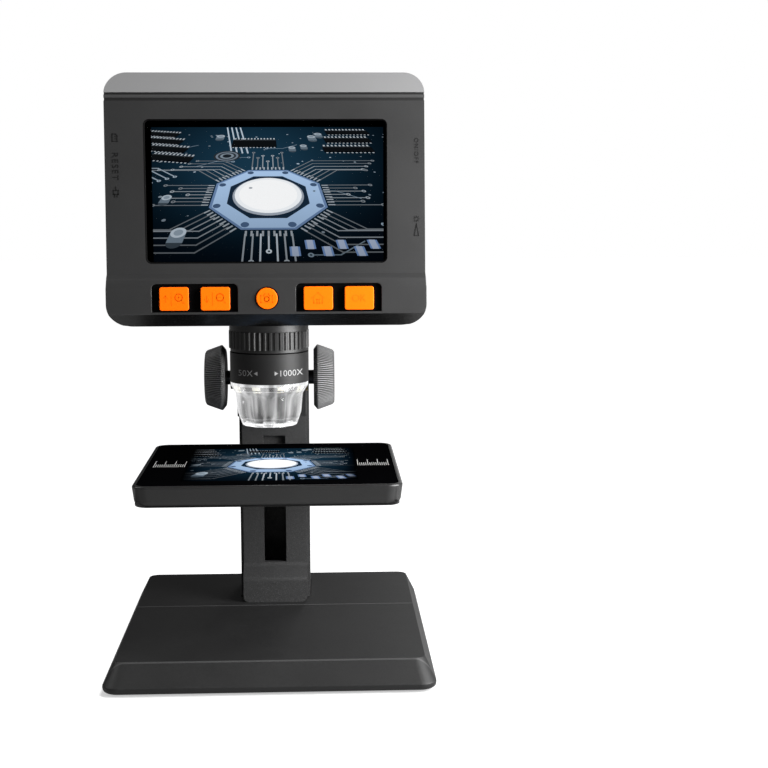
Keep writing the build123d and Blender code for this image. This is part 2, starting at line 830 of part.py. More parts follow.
def carriage_screws():
    """Small screws of the cover, and the four that hold the head to the carriage from inside it."""
    screws = []
    for x, z in cover_screw_places:
        shank = rod_y(x, (nose_y, nose_y + cover_screw_long), z, cover_screw_radius)
        screws.append(shank + rod_y(x, (nose_y - cover_head_high, nose_y), z, cover_head_radius))
    for x, z in bracket_screw_places:
        shank = rod_y(x, (head_inner_back, head_inner_back + bracket_screw_long), z, screw_radius)
        head = rod_y(x, (head_inner_back - screw_head_high, head_inner_back), z, screw_head_radius)
        screws.append(shank + head)
    return Compound(children=screws)


def shaft_bushes():
    """Two flanged bushes in the carriage that the knob shaft turns in."""
    inner = carriage_half - bush_long
    outer = carriage_half + bush_flange_thick
    bush = rod_x((inner, carriage_half), shaft_y, shaft_z, bush_radius)
    bush += rod_x((carriage_half, outer), shaft_y, shaft_z, bush_flange_radius)
    bush -= rod_x((inner, outer), shaft_y, shaft_z, shaft_radius + running)
    return Compound(children=[bush, mirror(bush, Plane.YZ)])


# ---------------------------------------------------------------- knobs and their shaft
def knob_shaft():
    ends = (knob_screw_proud - left_knob_out, right_knob_out - knob_screw_proud)
    return rod_x(ends, shaft_y, shaft_z, shaft_radius)


def tension_collar():
    """Adjustable collar on the left that sets how stiffly the knobs turn."""
    x = (-collar_inner - collar_thick, -collar_inner)
    collar = rod_x(x, shaft_y, shaft_z, collar_radius)
    return collar - rod_x(x, shaft_y, shaft_z, shaft_radius + thread)


def knob_form():
    """Ribbed knob turned about Z, its inner face on z = 0."""
    points = [(0, 0), (knob_inner_radius, 0), (knob_radius, knob_ridge)]
    points += [(knob_outer_radius, knob_thick - knob_edge), (knob_outer_radius - knob_edge, knob_thick)]
    points += [(0, knob_thick)]
    body = revolve(Plane.XZ * Polygon(*points, align=None), Axis.Z)
    dish = Pos(0, 0, knob_thick) * Cylinder(knob_outer_radius - knob_rim, 2 * knob_dish_deep)
    bore = Cylinder(shaft_radius + thread, 2 * knob_thick)
    ribs = extrude(toothed_outline(knob_radius, knob_tooth_deep, knob_teeth), knob_thick)
    return (body - dish - bore) & ribs


def left_knob():
    return Pos(-left_knob_in, shaft_y, shaft_z) * Rot(0, -90, 0) * knob_form()


def right_knob():
    return Pos(right_knob_in, shaft_y, shaft_z) * Rot(0, 90, 0) * knob_form()


def knob_screws():
    """A round screw head in the middle of each knob's outer face."""
    left = rod_x((-left_knob_out, knob_screw_proud - left_knob_out), shaft_y, shaft_z, knob_screw_radius)
    right = rod_x((right_knob_out - knob_screw_proud, right_knob_out), shaft_y, shaft_z, knob_screw_radius)
    return Compound(children=[left, right])


# ---------------------------------------------------------------- stage
stage_screws_y = (tongue_end - bracket_screw_in, tongue_end - bracket_tongue_long + bracket_screw_in)
stage_screw_places = pairs(bracket_tongue_half - bracket_screw_in, stage_screws_y)


def stage_slab(inset, z, corner):
    """A plate of the stage's outline, smaller by the inset all round."""
    return slab(stage_width - 2 * inset, stage_depth - 2 * inset, z, corner, (0, stage_mid_y))


def stage_frame():
    """Tray with a raised rim round the glass and a hollow underneath for the bracket."""
    low = stage_top - stage_thick
    frame = stage_slab(0, (low, stage_top), stage_corner)
    frame = fillet(frame.faces().sort_by(Axis.Z)[0].edges(), stage_edge_low)
    frame = fillet(frame.faces().sort_by(Axis.Z)[-1].edges(), stage_edge_top)
    frame -= stage_slab(stage_rim, (stage_top - stage_glass_thick, stage_top), stage_corner - stage_rim)
    wall = stage_wall + stage_rim
    frame -= stage_slab(wall, (low, stage_deck_z), stage_inner_corner)
    frame -= block(around(0, slot_width - slip), (stage_back - 2 * wall, stage_back), (low, stage_deck_z))
    for x, y in stage_screw_places:
        frame -= post(x, y, (stage_deck_z, stage_deck_z + deck_screw_bite), screw_radius + thread)
    return frame


def stage_glass():
    """Printed glass plate, flush in the frame."""
    inset = stage_rim + edge_fit
    return stage_slab(inset, (stage_top - stage_glass_thick, stage_top), stage_corner - inset)


def stage_bracket():
    """Tongue under the stage, neck through the slot, and a plate with a nut block in the column."""
    tongue_z = (stage_deck_z - bracket_tongue_thick, stage_deck_z)
    tongue_y = (tongue_end - bracket_tongue_long, tongue_end)
    bracket = block(around(0, 2 * bracket_tongue_half), tongue_y, tongue_z)
    for x, y in stage_screw_places:
        bracket -= post(x, y, tongue_z, screw_radius + thread)
    neck_x = around(0, slot_width - 2 * slip)
    bracket += block(neck_x, (tongue_end, bracket_plate_front), (bracket_neck_low, stage_deck_z))
    bracket += block(neck_x, (column_front, bracket_plate_front), (bracket_neck_low, bracket_neck_top))
    plate_z = (bracket_plate_low, bracket_plate_top)
    bracket += block(around(0, 2 * clamp_side), (bracket_plate_front, bracket_plate_back), plate_z)
    nut_x = (-clamp_side, clamp_block_wide - clamp_side)
    nut_y = (bracket_plate_back, bracket_plate_back + clamp_block_deep)
    bracket += block(nut_x, nut_y, (bracket_plate_low, bracket_plate_low + clamp_block_high))
    return bracket - rod_x(nut_x, clamp_y, clamp_z, clamp_bolt_radius + running)


def stage_screws():
    low = stage_deck_z - bracket_tongue_thick
    screws = []
    for x, y in stage_screw_places:
        shank = post(x, y, (low, stage_deck_z + deck_screw_bite), screw_radius)
        screws.append(shank + post(x, y, (low - stage_screw_head, low), screw_head_radius))
    return Compound(children=screws)


def clamp_bolt():
    """Bolt that reaches through the column's side slot into the bracket's nut block."""
    ends = (clamp_bolt_end - clamp_knob_end, clamp_block_wide - clamp_side - screw_tip)
    return rod_x(ends, clamp_y, clamp_z, clamp_bolt_radius)


def clamp_washer():
    x = (-clamp_knob_start, -clamp_face)
    washer = rod_x(x, clamp_y, clamp_z, clamp_washer_radius)
    return washer - rod_x(x, clamp_y, clamp_z, clamp_bolt_radius + thread)


def clamp_knob():
    """Lobed hand knob at the column's left side that locks the stage."""
    x = (-clamp_knob_end, -clamp_knob_start)
    knob = rod_x(x, clamp_y, clamp_z, clamp_knob_radius)
    knob = fillet(knob.edges().sort_by(Axis.X)[0], clamp_knob_edge)
    reach = clamp_knob_radius + clamp_hollow / 2
    for i in range(clamp_lobes):
        angle = 2 * pi * (i + 0.5) / clamp_lobes
        knob -= rod_x(x, clamp_y + reach * cos(angle), clamp_z + reach * sin(angle), clamp_hollow)
    bore_x = (clamp_bolt_end - clamp_knob_end, -clamp_knob_start)
    return knob - rod_x(bore_x, clamp_y, clamp_z, clamp_bolt_radius + thread)


# ---------------------------------------------------------------- head housing
front_to_split = (key_front_y, split_y)
full_width = around(0, head_width)
window_x = around(screen_opening_x, screen_opening_width)
window_z = around(screen_mid_z, screen_opening_high)
square_keys = {
    "zoom_in_key": -key_outer_x,
    "zoom_out_key": -key_inner_x,
    "home_key": key_inner_x,
    "ok_key": key_outer_x,
}
housing_screw_levels = (head_bottom + housing_screw_in_low, head_top - housing_screw_in_high)
housing_screw_places = pairs(head_half - housing_screw_in_x, housing_screw_levels)
wheel_x = head_half + wheel_out - wheel_radius
wheel_y = (board_back + wheel_from_board, board_back + wheel_from_board + wheel_thick)
wheel_mid_z = head_bottom + wheel_z
switch_mid_y = board_back + switch_body_deep / 2
switch_low_z = head_bottom + switch_z
card_mid_z = head_bottom + card_z
usb_mid_z = head_bottom + usb_z
reset_mid_z = head_bottom + reset_z
reset_mid_y = board_back + reset_body_deep / 2


def head_profile():
    """The housing's side outline, as y and z."""
    low_back, high_back = (head_back, head_bottom), (head_back, head_top)
    outline = [(chin_y, head_bottom + chin_low), (chin_y + rim_run, head_bottom), low_back, high_back]
    outline += [(head_front + top_band_run, head_top), (head_front, top_band_low)]
    outline += [(head_front, head_bottom + chin_top), (chin_y, head_bottom + chin_top - chin_slope)]
    return rounded_corners(Polygon(*outline, align=None), [low_back, high_back], back_round)


def head_form(inset=0.0):
    """The whole housing as one solid, or with an inset the room inside it."""
    profile = head_profile()
    if inset:
        profile = offset(profile, -inset, kind=Kind.INTERSECTION)
    half = head_half - inset
    side_view = extrude(Plane.YZ * profile, half, both=True)
    outline = Rectangle(2 * half, head_high - 2 * inset)
    outline = fillet(outline.vertices().group_by(Axis.Y)[0], head_corner_bottom - inset)
    outline = fillet(outline.vertices().group_by(Axis.Y)[-1], head_corner_top - inset)
    front_view = Plane.XZ * Pos(0, head_bottom + head_high / 2) * outline
    return side_view & extrude(front_view, 2 * head_depth, both=True)


housing = head_form()
housing_room = head_form(head_wall)


def front_bezel():
    """Front shell: screen opening, key strip with two pockets, bosses for the keys' board and screws."""
    shell = (housing - housing_room) & block(full_width, front_to_split, (head_bottom, top_band_low))
    shell += key_pockets("back") & housing
    shell -= key_pockets("hollow")
    for x in square_keys.values():
        hole_x = around(x, key_stem_width + 2 * slip)
        shell -= block(hole_x, (pocket_floor_y, pocket_back_y), around(key_mid_z, key_stem_high + 2 * slip))
    shell -= rod_y(0, (chin_y, chin_inner_y), key_mid_z, round_key_radius + slip)
    shell -= panel(window_x, window_z, (head_front, inner_face), screen_opening_corner)
    seat_x, seat_z = grown(window_x, window_overlap), grown(window_z, window_overlap)
    shell -= panel(seat_x, seat_z, (inner_face - window_thick, inner_face), screen_opening_corner)
    skin = housing - head_form(groove_deep)
    lower_groove = (bezel_top - bead_high - groove_high, bezel_top - bead_high)
    for z in ((bezel_top, top_band_low), lower_groove):
        shell -= skin & block(full_width, front_to_split, z)
    for x in (-key_boss_x, key_boss_x):
        shell += rod_y(x, (pocket_back_y, key_board_front), key_mid_z, key_boss_radius)
    for x, z in housing_screw_places:
        shell += rod_y(x, (chin_y, head_inner_back), z, housing_boss_radius) & housing_room
        hole_y = (head_inner_back - housing_screw_long, head_inner_back)
        shell -= rod_y(x, hole_y, z, housing_screw_radius + thread)
    return shell


def key_pockets(part):
    """The two hollows that the square keys lie in, or the walls behind them."""
    left = (-pocket_outer_x, -pocket_inner_x)
    if part == "hollow":
        z = (head_bottom, head_bottom + pocket_top)
        return mirrored(panel(left, z, (chin_y, pocket_floor_y), pocket_corner))
    z = (head_bottom + chin_low - pocket_wall, head_bottom + pocket_top + pocket_wall)
    return mirrored(block(grown(left, pocket_wall), (pocket_floor_y, pocket_back_y), z))


def side_cut(side, y, z):
    """An opening in the side wall of the housing, side being -1 or 1."""
    return block(sorted((side * inner_side, side * head_half)), y, z)


def rear_shell():
    """Deep rear shell with the tube's hole, side openings, vents and screw holes."""
    shell = housing - housing_room
    shell &= block(full_width, (split_y + seam, head_back), (head_bottom, top_band_low - seam))
    shell -= post(0, tube_y, (head_bottom, head_bottom + head_wall), sleeve_radius + seam)
    wheel_high = sqrt(wheel_radius ** 2 - (inner_side - wheel_x) ** 2) + wheel_room
    shell -= side_cut(1, grown(wheel_y, slip), around(wheel_mid_z, 2 * wheel_high))
    slider_z = (switch_low_z, switch_low_z + switch_travel)
    slider_room = switch_knob_high / 2 + slip
    shell -= side_cut(1, around(switch_mid_y, switch_knob_deep + 2 * slip), grown(slider_z, slider_room))
    shell -= side_cut(-1, (board_back, board_back + card_deep), around(card_mid_z, card_high))
    shell -= side_cut(-1, (board_back, board_back + usb_deep), around(usb_mid_z, usb_high))
    shell -= rod_x((-head_half, -inner_side), reset_mid_y, reset_mid_z, reset_hole_radius)
    wall_y = (head_inner_back, head_back)
    for x, z in housing_screw_places:
        shell -= rod_y(x, wall_y, z, housing_screw_radius + housing_screw_room)
        seat_y = (head_back - housing_head_high, head_back)
        shell -= rod_y(x, seat_y, z, housing_head_radius + housing_screw_room)
    for x, z in bracket_screw_places:
        shell -= rod_y(x, wall_y, z, screw_radius + thread)
    for i in range(vent_count):
        z = head_bottom + vent_z + (i - (vent_count - 1) / 2) * vent_pitch
        vent = block(around(vent_x, vent_width - vent_high), wall_y, around(z, vent_high))
        for x in around(vent_x, vent_width - vent_high):
            vent += rod_y(x, wall_y, z, vent_high / 2)
        shell -= mirrored(vent)
    return shell


def top_cover():
    """Cover over the top of the housing; its sloping front is the light band above the screen."""
    return (housing - housing_room) & block(full_width, (head_front, head_back), (top_band_low, head_top))


def housing_screws():
    screws = []
    for x, z in housing_screw_places:
        seat = head_back - housing_head_high
        shank = rod_y(x, (head_inner_back - housing_screw_long + screw_tip, seat), z, housing_screw_radius)
        screws.append(shank + rod_y(x, (seat, head_back - housing_screw_room), z, housing_head_radius))
    return Compound(children=screws)


# ---------------------------------------------------------------- screen and boards
lcd_x = around(screen_opening_x + lcd_shift_x, screen_opening_width + 2 * lcd_margin_x)
lcd_z = around(screen_mid_z - lcd_drop, screen_opening_high + 2 * lcd_margin_z)
board_x = around(0, 2 * (inner_side - board_side_gap))
board_z = grown(lcd_z, -board_less_z)


def screen_window():
    grow = window_overlap - edge_fit
    y = (inner_face - window_thick, inner_face)
    return panel(grown(window_x, grow), grown(window_z, grow), y, screen_opening_corner)


def lcd_panel():
    return block(lcd_x, (inner_face, lcd_back), lcd_z)


def lcd_frame():
    """Metal tray behind the panel, with standoffs for the main board."""
    frame = block(lcd_x, (lcd_back, lcd_back + lcd_frame_thick), lcd_z)
    for x in grown(lcd_x, -standoff_in):
        for z in grown(lcd_z, -standoff_in):
            frame += rod_y(x, (lcd_back, board_front), z, standoff_radius)
    return frame


def main_board():
    return block(board_x, (board_front, board_back), board_z)


def battery():
    middle = (board_z[0] + board_z[1]) / 2
    y = (board_back, board_back + battery_thick)
    return panel(around(0, battery_width), around(middle, battery_high), y, battery_corner)


def key_board():
    y = (key_board_front, key_board_front + key_board_thick)
    return block(around(0, key_board_width), y, around(key_mid_z, key_board_high))


def key_switches():
    z = around(key_mid_z, key_switch_size)
    y = (switch_front_y, key_board_front)
    middles = (*square_keys.values(), 0)
    return Compound(children=[block(around(x, key_switch_size), y, z) for x in middles])


def square_key(x):
    """Key cap, stem through the pocket floor and the flange that keeps it in."""
    cap_back = key_front_y + key_cap_thick
    cap = panel(around(x, key_width), around(key_mid_z, key_high), (key_front_y, cap_back), key_corner)
    key = fillet(cap.faces().sort_by(Axis.Y)[0].edges(), key_edge)
    stem_x, stem_z = around(x, key_stem_width), around(key_mid_z, key_stem_high)
    key += block(stem_x, (cap_back, flange_back_y), stem_z)
    flange_y = (flange_back_y - key_flange_thick, flange_back_y)
    return key + block(grown(stem_x, key_flange_grow), flange_y, grown(stem_z, key_flange_grow))


def capture_key():
    """The round key in the middle of the strip."""
    flange_front = chin_inner_y + key_play
    flange_back = flange_front + round_key_flange_thick
    cap = rod_y(0, (key_front_y, flange_front), key_mid_z, round_key_radius)
    key = fillet(cap.edges().sort_by(Axis.Y)[0], round_key_edge)
    key += rod_y(0, (flange_front, flange_back), key_mid_z, round_key_radius + round_key_flange)
    return key + rod_y(0, (flange_front, flange_back_y), key_mid_z, round_plunger_radius)


# ---------------------------------------------------------------- side controls and sockets
def control_bodies():
    """The power switch's body and the dimmer's base with its shaft, both on the main board."""
    switch_back = inner_side - switch_play - switch_flange_thick - switch_play
    switch_z_range = around(switch_low_z + switch_travel / 2, switch_body_high)
    switch_y = (board_back, board_back + switch_body_deep)
    switch = block((switch_back - switch_body_long, switch_back), switch_y, switch_z_range)
    dimmer_x = (wheel_x + wheel_shaft_radius - dimmer_base_long, wheel_x + wheel_shaft_radius)
    dimmer_y = (board_back, board_back + dimmer_base_thick)
    dimmer = block(dimmer_x, dimmer_y, around(wheel_mid_z, dimmer_base_high))
    dimmer += rod_y(wheel_x, (board_back, wheel_y[1] + wheel_shaft_end), wheel_mid_z, wheel_shaft_radius)
    return Compound(children=[switch, dimmer])


def dimmer_wheel():
    outline = toothed_outline(wheel_radius, wheel_tooth_deep, wheel_teeth)
    wheel = Pos(wheel_x, wheel_y[1], wheel_mid_z) * extrude(Plane.XZ * outline, wheel_thick)
    return wheel - rod_y(wheel_x, wheel_y, wheel_mid_z, wheel_shaft_radius + running)


def power_slider():
    """The small knob of the power switch, sunk in its slot, with a flange behind the wall."""
    back = inner_side - switch_play
    front = back - switch_flange_thick
    y, z = around(switch_mid_y, switch_knob_deep), around(switch_low_z, switch_knob_high)
    knob = block((front, head_half - switch_sunk), y, z)
    return knob + block((front, back), grown(y, switch_flange_grow), grown(z, switch_flange_grow))


def side_socket(deep, z):
    """A sheet metal socket on the main board's left edge, open to the side."""
    x = (-inner_side, socket_long - inner_side)
    y = (board_back, board_back + deep)
    room_x = (-inner_side, socket_long - socket_back - inner_side)
    return block(x, y, z) - block(room_x, grown(y, -socket_wall), grown(z, -socket_wall))


def side_sockets():
    """The memory card slot and, below it, the micro USB socket."""
    card = side_socket(card_deep, around(card_mid_z, card_high))
    usb = side_socket(usb_deep, around(usb_mid_z, usb_high))
    return Compound(children=[card, usb])


def reset_switch():
    """Small switch on the main board's left edge, pressed with a pin through the hole in the side."""
    back = board_side_gap + reset_body_long - inner_side
    x = (board_side_gap - inner_side, back)
    y = (board_back, board_back + reset_body_deep)
    body = block(x, y, around(reset_mid_z, reset_body_high))
    plunger_x = (reset_plunger_gap - inner_side, x[0])
    return body + rod_x(plunger_x, reset_mid_y, reset_mid_z, reset_plunger_radius)


# ---------------------------------------------------------------- lens tube
def tube_sleeve():
    """Collar under the head and the sleeve that carries the ring, the band and the barrel."""
    sleeve = ring(sleeve_radius, sleeve_bore, (band_bottom, sleeve_top))
    sleeve += ring(tube_collar_radius, sleeve_bore, (grip_top, collar_top))
    return sleeve + ring(sleeve_flange, sleeve_bore, (head_bottom + head_wall, sleeve_top))


def focus_grip():
    """Ribbed ring that the user turns; its lower edge is rounded."""
    low, high = grown((grip_bottom, grip_top), -grip_play)
    bore = sleeve_radius + running
    body = ring(grip_radius, bore, (low, high))
    outer_edge = body.edges().filter_by(GeomType.CIRCLE).group_by(Axis.Z)[0].sort_by(SortBy.RADIUS)[-1]
    body = fillet(outer_edge, grip_edge)
    ribs = extrude(toothed_outline(grip_radius, grip_rib_deep, grip_ribs), high - low - grip_edge)
    ribs = Pos(0, tube_y, low + grip_edge) * ribs
    return (body & ribs) + (body & ring(grip_radius - grip_rib_deep, bore, (low, high)))


def scale_band():
    """Smooth band with the two end marks of the scale."""
    return ring(band_radius, sleeve_radius + thread, (band_bottom, grip_bottom))


def lens_barrel():
    """Barrel that slides in the sleeve, with a narrower nose that reaches into the cap."""
    upper = ring(sleeve_bore - running, barrel_bore, (barrel_step, barrel_top))
    return upper + ring(barrel_nose_radius, barrel_bore, (barrel_bottom, barrel_step))


def lenses():
    """Three lenses in the barrel's bore."""
    low, high = barrel_bottom + lens_in, barrel_top - lens_in - lens_thick
    radius = barrel_bore - thread
    glass = [post(0, tube_y, (z, z + lens_thick), radius) for z in (low, (low + high) / 2, high)]
    return Compound(children=glass)


def sensor_board():
    """Camera chip on a small board that closes the sleeve's upper end."""
    board_top = sleeve_top + sensor_board_thick
    board = block(around(0, sensor_board_size), around(tube_y, sensor_board_size), (sleeve_top, board_top))
    chip_z = (sleeve_top - sensor_high, sleeve_top)
    return board + block(around(0, sensor_size), around(tube_y, sensor_size), chip_z)


def led_board():
    outer = cap_top_radius - cap_wall - edge_fit
    return ring(outer, barrel_nose_radius + slip, (band_bottom - led_board_thick, band_bottom))


def led_lamps():
    top = band_bottom - led_board_thick
    lamp = block(around(led_ring_radius, led_size), around(0, led_size), (top - led_high, top))
    turns = [Rot(0, 0, 360 * (i + 0.5) / led_count) for i in range(led_count)]
    return Compound(children=[Pos(0, tube_y, 0) * turn * lamp for turn in turns])


def light_cap():
    """Clear fluted cap under the lamps, open in the middle for the light."""
    rim_z = band_bottom - cap_rim_high
    shoulder_z = band_bottom - cap_shoulder_drop
    waist_z = band_bottom - cap_waist_drop
    inset = cap_wall + cap_flute_deep
    outer = [(cap_top_radius, band_bottom), (cap_top_radius, rim_z), (cap_shoulder_radius, shoulder_z)]
    outer += [(cap_waist_radius, waist_z), (cap_bottom_radius, cap_bottom)]
    inner = [(cap_opening, cap_bottom), (cap_opening, cap_bottom + cap_wall)]
    inner += [(cap_waist_radius - inset, waist_z), (cap_shoulder_radius - inset, shoulder_z)]
    inner += [(cap_top_radius - cap_wall, rim_z - cap_wall), (cap_top_radius - cap_wall, band_bottom)]
    cap = turned(outer + inner)
    reach = cap_shoulder_radius + cap_flute_radius - cap_flute_deep
    for i in range(cap_flutes):
        angle = 2 * pi * i / cap_flutes + pi / 2
        place = (reach * cos(angle), tube_y + reach * sin(angle))
        cap -= post(*place, (cap_bottom, shoulder_z - led_board_thick / 2), cap_flute_radius)
    return cap


# ---------------------------------------------------------------- writing the pieces
pieces = {
    "base_front_cover": base_front_cover(),
    "base_rear_cover": base_rear_cover(),
    "base_weight": base_weight(),
    "bottom_plate": bottom_plate(),
    "rubber_feet": rubber_feet(),
    "base_screws": base_screws(),
    "column_channel": column_channel(),
    "column_front_plate": column_front_plate(),
    "column_spacers": column_spacers(),
    "column_rail": column_rail(),
    "gear_rack": gear_rack(),
    "column_cap": column_cap(),
    "column_screws": column_screws(),
    "carriage_block": carriage_block(),
    "carriage_cover": carriage_cover(),
    "carriage_screws": carriage_screws(),
    "shaft_bushes": shaft_bushes(),
    "pinion_gear": pinion_gear(),
    "knob_shaft": knob_shaft(),
    "tension_collar": tension_collar(),
    "left_knob": left_knob(),
    "right_knob": right_knob(),
    "knob_screws": knob_screws(),
    "stage_frame": stage_frame(),
    "stage_glass": stage_glass(),
    "stage_bracket": stage_bracket(),
    "stage_screws": stage_screws(),
    "clamp_bolt": clamp_bolt(),
    "clamp_washer": clamp_washer(),
    "clamp_knob": clamp_knob(),
    "front_bezel": front_bezel(),
    "rear_shell": rear_shell(),
    "top_cover": top_cover(),
    "housing_screws": housing_screws(),
    "screen_window": screen_window(),
    "lcd_panel": lcd_panel(),
    "lcd_frame": lcd_frame(),
    "main_board": main_board(),
    "battery": battery(),
    "key_board": key_board(),
    "key_switches": key_switches(),
    "capture_key": capture_key(),
    "control_bodies": control_bodies(),
    "dimmer_wheel": dimmer_wheel(),
    "power_slider": power_slider(),
    "side_sockets": side_sockets(),
    "reset_switch": reset_switch(),
    "tube_sleeve": tube_sleeve(),
    "focus_grip": focus_grip(),
    "scale_band": scale_band(),
    "lens_barrel": lens_barrel(),
    "lenses": lenses(),
    "sensor_board": sensor_board(),
    "led_board": led_board(),
    "led_lamps": led_lamps(),
    "light_cap": light_cap(),
}
for name, x in square_keys.items():
    pieces[name] = square_key(x)

os.makedirs("parts", exist_ok=True)
for name, shape in pieces.items():
    export_step(shape, f"parts/{name}.step")
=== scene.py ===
import math
import random

import bmesh
import bpy
from mathutils import Matrix, Vector


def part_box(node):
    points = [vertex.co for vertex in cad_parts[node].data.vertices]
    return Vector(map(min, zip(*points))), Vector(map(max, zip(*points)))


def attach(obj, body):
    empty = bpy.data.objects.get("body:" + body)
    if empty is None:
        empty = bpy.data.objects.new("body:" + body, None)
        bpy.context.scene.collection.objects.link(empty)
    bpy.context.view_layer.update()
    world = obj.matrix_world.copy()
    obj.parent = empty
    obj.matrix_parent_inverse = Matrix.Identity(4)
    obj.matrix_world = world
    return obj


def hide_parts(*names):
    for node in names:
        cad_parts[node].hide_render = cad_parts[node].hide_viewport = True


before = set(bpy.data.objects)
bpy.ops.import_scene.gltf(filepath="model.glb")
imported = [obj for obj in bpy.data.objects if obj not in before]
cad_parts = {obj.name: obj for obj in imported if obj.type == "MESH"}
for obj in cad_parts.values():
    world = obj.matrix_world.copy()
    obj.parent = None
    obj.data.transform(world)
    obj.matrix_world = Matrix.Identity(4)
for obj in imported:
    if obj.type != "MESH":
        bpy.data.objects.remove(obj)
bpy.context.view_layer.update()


# ------------------------------------------------------------------ base covers
# Two injection-moulded ABS covers that meet on a line in front of the column. Their top is flat, its
# front edge falls in a long bevel to an upright lip, and the outside has a fine spark-eroded grain.
def mm(*values):
    """A place or size in millimetres as the scene's metres."""
    return Vector(value * 0.001 for value in values)


class Wire:
    """An output in a finish; arithmetic on it adds Math nodes to the same finish."""

    def __init__(self, finish, socket):
        self.finish = finish
        self.socket = socket

    def maths(self, operation, *values):
        return self.finish.node("ShaderNodeMath", {"operation": operation}, dict(enumerate(values)))

    def __add__(self, other):
        return self.maths("ADD", self, other)

    def __radd__(self, other):
        return self.maths("ADD", other, self)

    def __sub__(self, other):
        return self.maths("SUBTRACT", self, other)

    def __rsub__(self, other):
        return self.maths("SUBTRACT", other, self)

    def __mul__(self, other):
        return self.maths("MULTIPLY", self, other)

    def __rmul__(self, other):
        return self.maths("MULTIPLY", other, self)

    def __gt__(self, other):
        return self.maths("GREATER_THAN", self, other)

    def __lt__(self, other):
        return self.maths("LESS_THAN", self, other)


class Finish:
    """A material whose constants sit on the shader; node() makes whatever varies over the surface."""

    def __init__(self, name, **constants):
        self.material = bpy.data.materials.new(name)
        self.material.use_nodes = True
        self.tree = self.material.node_tree
        self.shader = self.tree.nodes["Principled BSDF"]
        for socket, value in constants.items():
            self.vary(socket.replace("_", " "), value)

    def join(self, socket, value):
        if isinstance(value, Wire):
            self.tree.links.new(value.socket, socket)
        else:
            socket.default_value = value

    def vary(self, socket, value):
        self.join(self.shader.inputs[socket], value)

    def node(self, kind, settings=None, inputs=None, output=0):
        made = self.tree.nodes.new(kind)
        for key, value in (settings or {}).items():
            setattr(made, key, value)
        for socket, value in (inputs or {}).items():
            self.join(made.inputs[socket], value)
        return Wire(self, made.outputs[output])

    def place(self):
        return self.node("ShaderNodeTexCoord", output="Object")

    def axes(self):
        """X, Y and Z of the surface in the microscope's own frame, in millimetres."""
        apart = self.node("ShaderNodeSeparateXYZ", None, {0: self.place()})
        outputs = apart.socket.node.outputs
        return [Wire(self, outputs[axis]) * 1000 for axis in "XYZ"]

    def beyond(self, value, limit):
        """How far a value's size goes past a limit."""
        return value.maths("MAXIMUM", value.maths("ABSOLUTE", value) - limit, 0.0)

    def noise(self, size, detail=2.0, stretch=(1, 1, 1)):
        place = self.node("ShaderNodeMapping", None, {"Vector": self.place(), "Scale": stretch})
        values = {"Vector": place, "Scale": 1000 / size, "Detail": detail}
        return self.node("ShaderNodeTexNoise", None, values)

    def spread(self, factor, low=0.3, high=0.7):
        """Stretches what lies between low and high over 0 to 1."""
        return self.node("ShaderNodeMapRange", None, {"Value": factor, "From Min": low, "From Max": high})

    def blend(self, factor, one, other):
        return self.node("ShaderNodeMix", {"data_type": "RGBA"}, {"Factor": factor, 6: one, 7: other}, 2)

    def bump(self, height, deep):
        self.vary("Normal", self.node("ShaderNodeBump", None, {"Height": height, "Distance": deep / 1000}))


def grey(level):
    """A neutral colour."""
    return (level, level, level * 1.01, 1)


def tinted(colour, by):
    """A colour, lighter or darker by a share."""
    return tuple(min(1.0, part * by) for part in colour[:3]) + (1,)


def moulded(name, colour, roughness, grain=0.35, deep=0.012, mottle=0.15, **constants):
    """Moulded plastic: spark-eroded grain with cloudy patches of other colour and gloss."""
    finish = Finish(name, **constants)
    fine = finish.noise(grain, 3.0)
    clouds = finish.noise(24.0, 3.0)
    mixed = finish.spread(fine * 0.6 + clouds * 0.4)
    finish.vary("Base Color", finish.blend(mixed, tinted(colour, 1 - mottle), tinted(colour, 1 + mottle)))
    finish.vary("Roughness", roughness + (clouds - 0.5) * 0.1 + (fine - 0.5) * 0.12)
    finish.bump(fine, deep)
    return finish


def dress(finish, *nodes):
    """Gives pieces that keep their own form a finish."""
    for node in nodes:
        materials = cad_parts[node].data.materials
        materials.clear()
        materials.append(finish.material)


def linked(mesh, name):
    """An object of the scene from a finished mesh."""
    data = bpy.data.meshes.new(name)
    mesh.to_mesh(data)
    mesh.free()
    made = bpy.data.objects.new(name, data)
    bpy.context.scene.collection.objects.link(made)
    return made


def settled(mesh, name, body, finish, replaced=(), crease=32, flat=False):
    """Makes a finished mesh a piece that rides on its body; flat keeps broad faces evenly lit."""
    made = linked(mesh, name)
    made.data.shade_smooth()
    made.data.set_sharp_from_angle(angle=math.radians(crease))
    made.data.materials.append(finish.material)
    if flat:
        made.modifiers.new("even_faces", "WEIGHTED_NORMAL").keep_sharp = True
    if replaced:
        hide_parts(*replaced)
    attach(made, body)
    return made


def own_form(node):
    """A piece's own form as one closed mesh with whole flat faces."""
    mesh = bmesh.new()
    mesh.from_mesh(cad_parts[node].data)
    bmesh.ops.remove_doubles(mesh, verts=mesh.verts, dist=2e-6)
    bmesh.ops.dissolve_limit(mesh, angle_limit=math.radians(0.4), verts=mesh.verts, edges=mesh.edges)
    return mesh


SHARP = math.radians(22)


def ease(mesh, width, wanted, segments=3):
    """Rounds the sharp edges whose middle, in millimetres, is wanted; corners keep no empty faces."""
    edges = []
    for edge in mesh.edges:
        middle = (edge.verts[0].co + edge.verts[1].co) * 500
        if edge.is_manifold and edge.calc_face_angle() > SHARP and wanted(middle):
            edges.append(edge)
    bmesh.ops.bevel(mesh, geom=edges, offset=width / 1000, segments=segments, profile=0.5,
                    affect="EDGES", clamp_overlap=True, material=-1)
    bmesh.ops.remove_doubles(mesh, verts=mesh.verts, dist=5e-7)


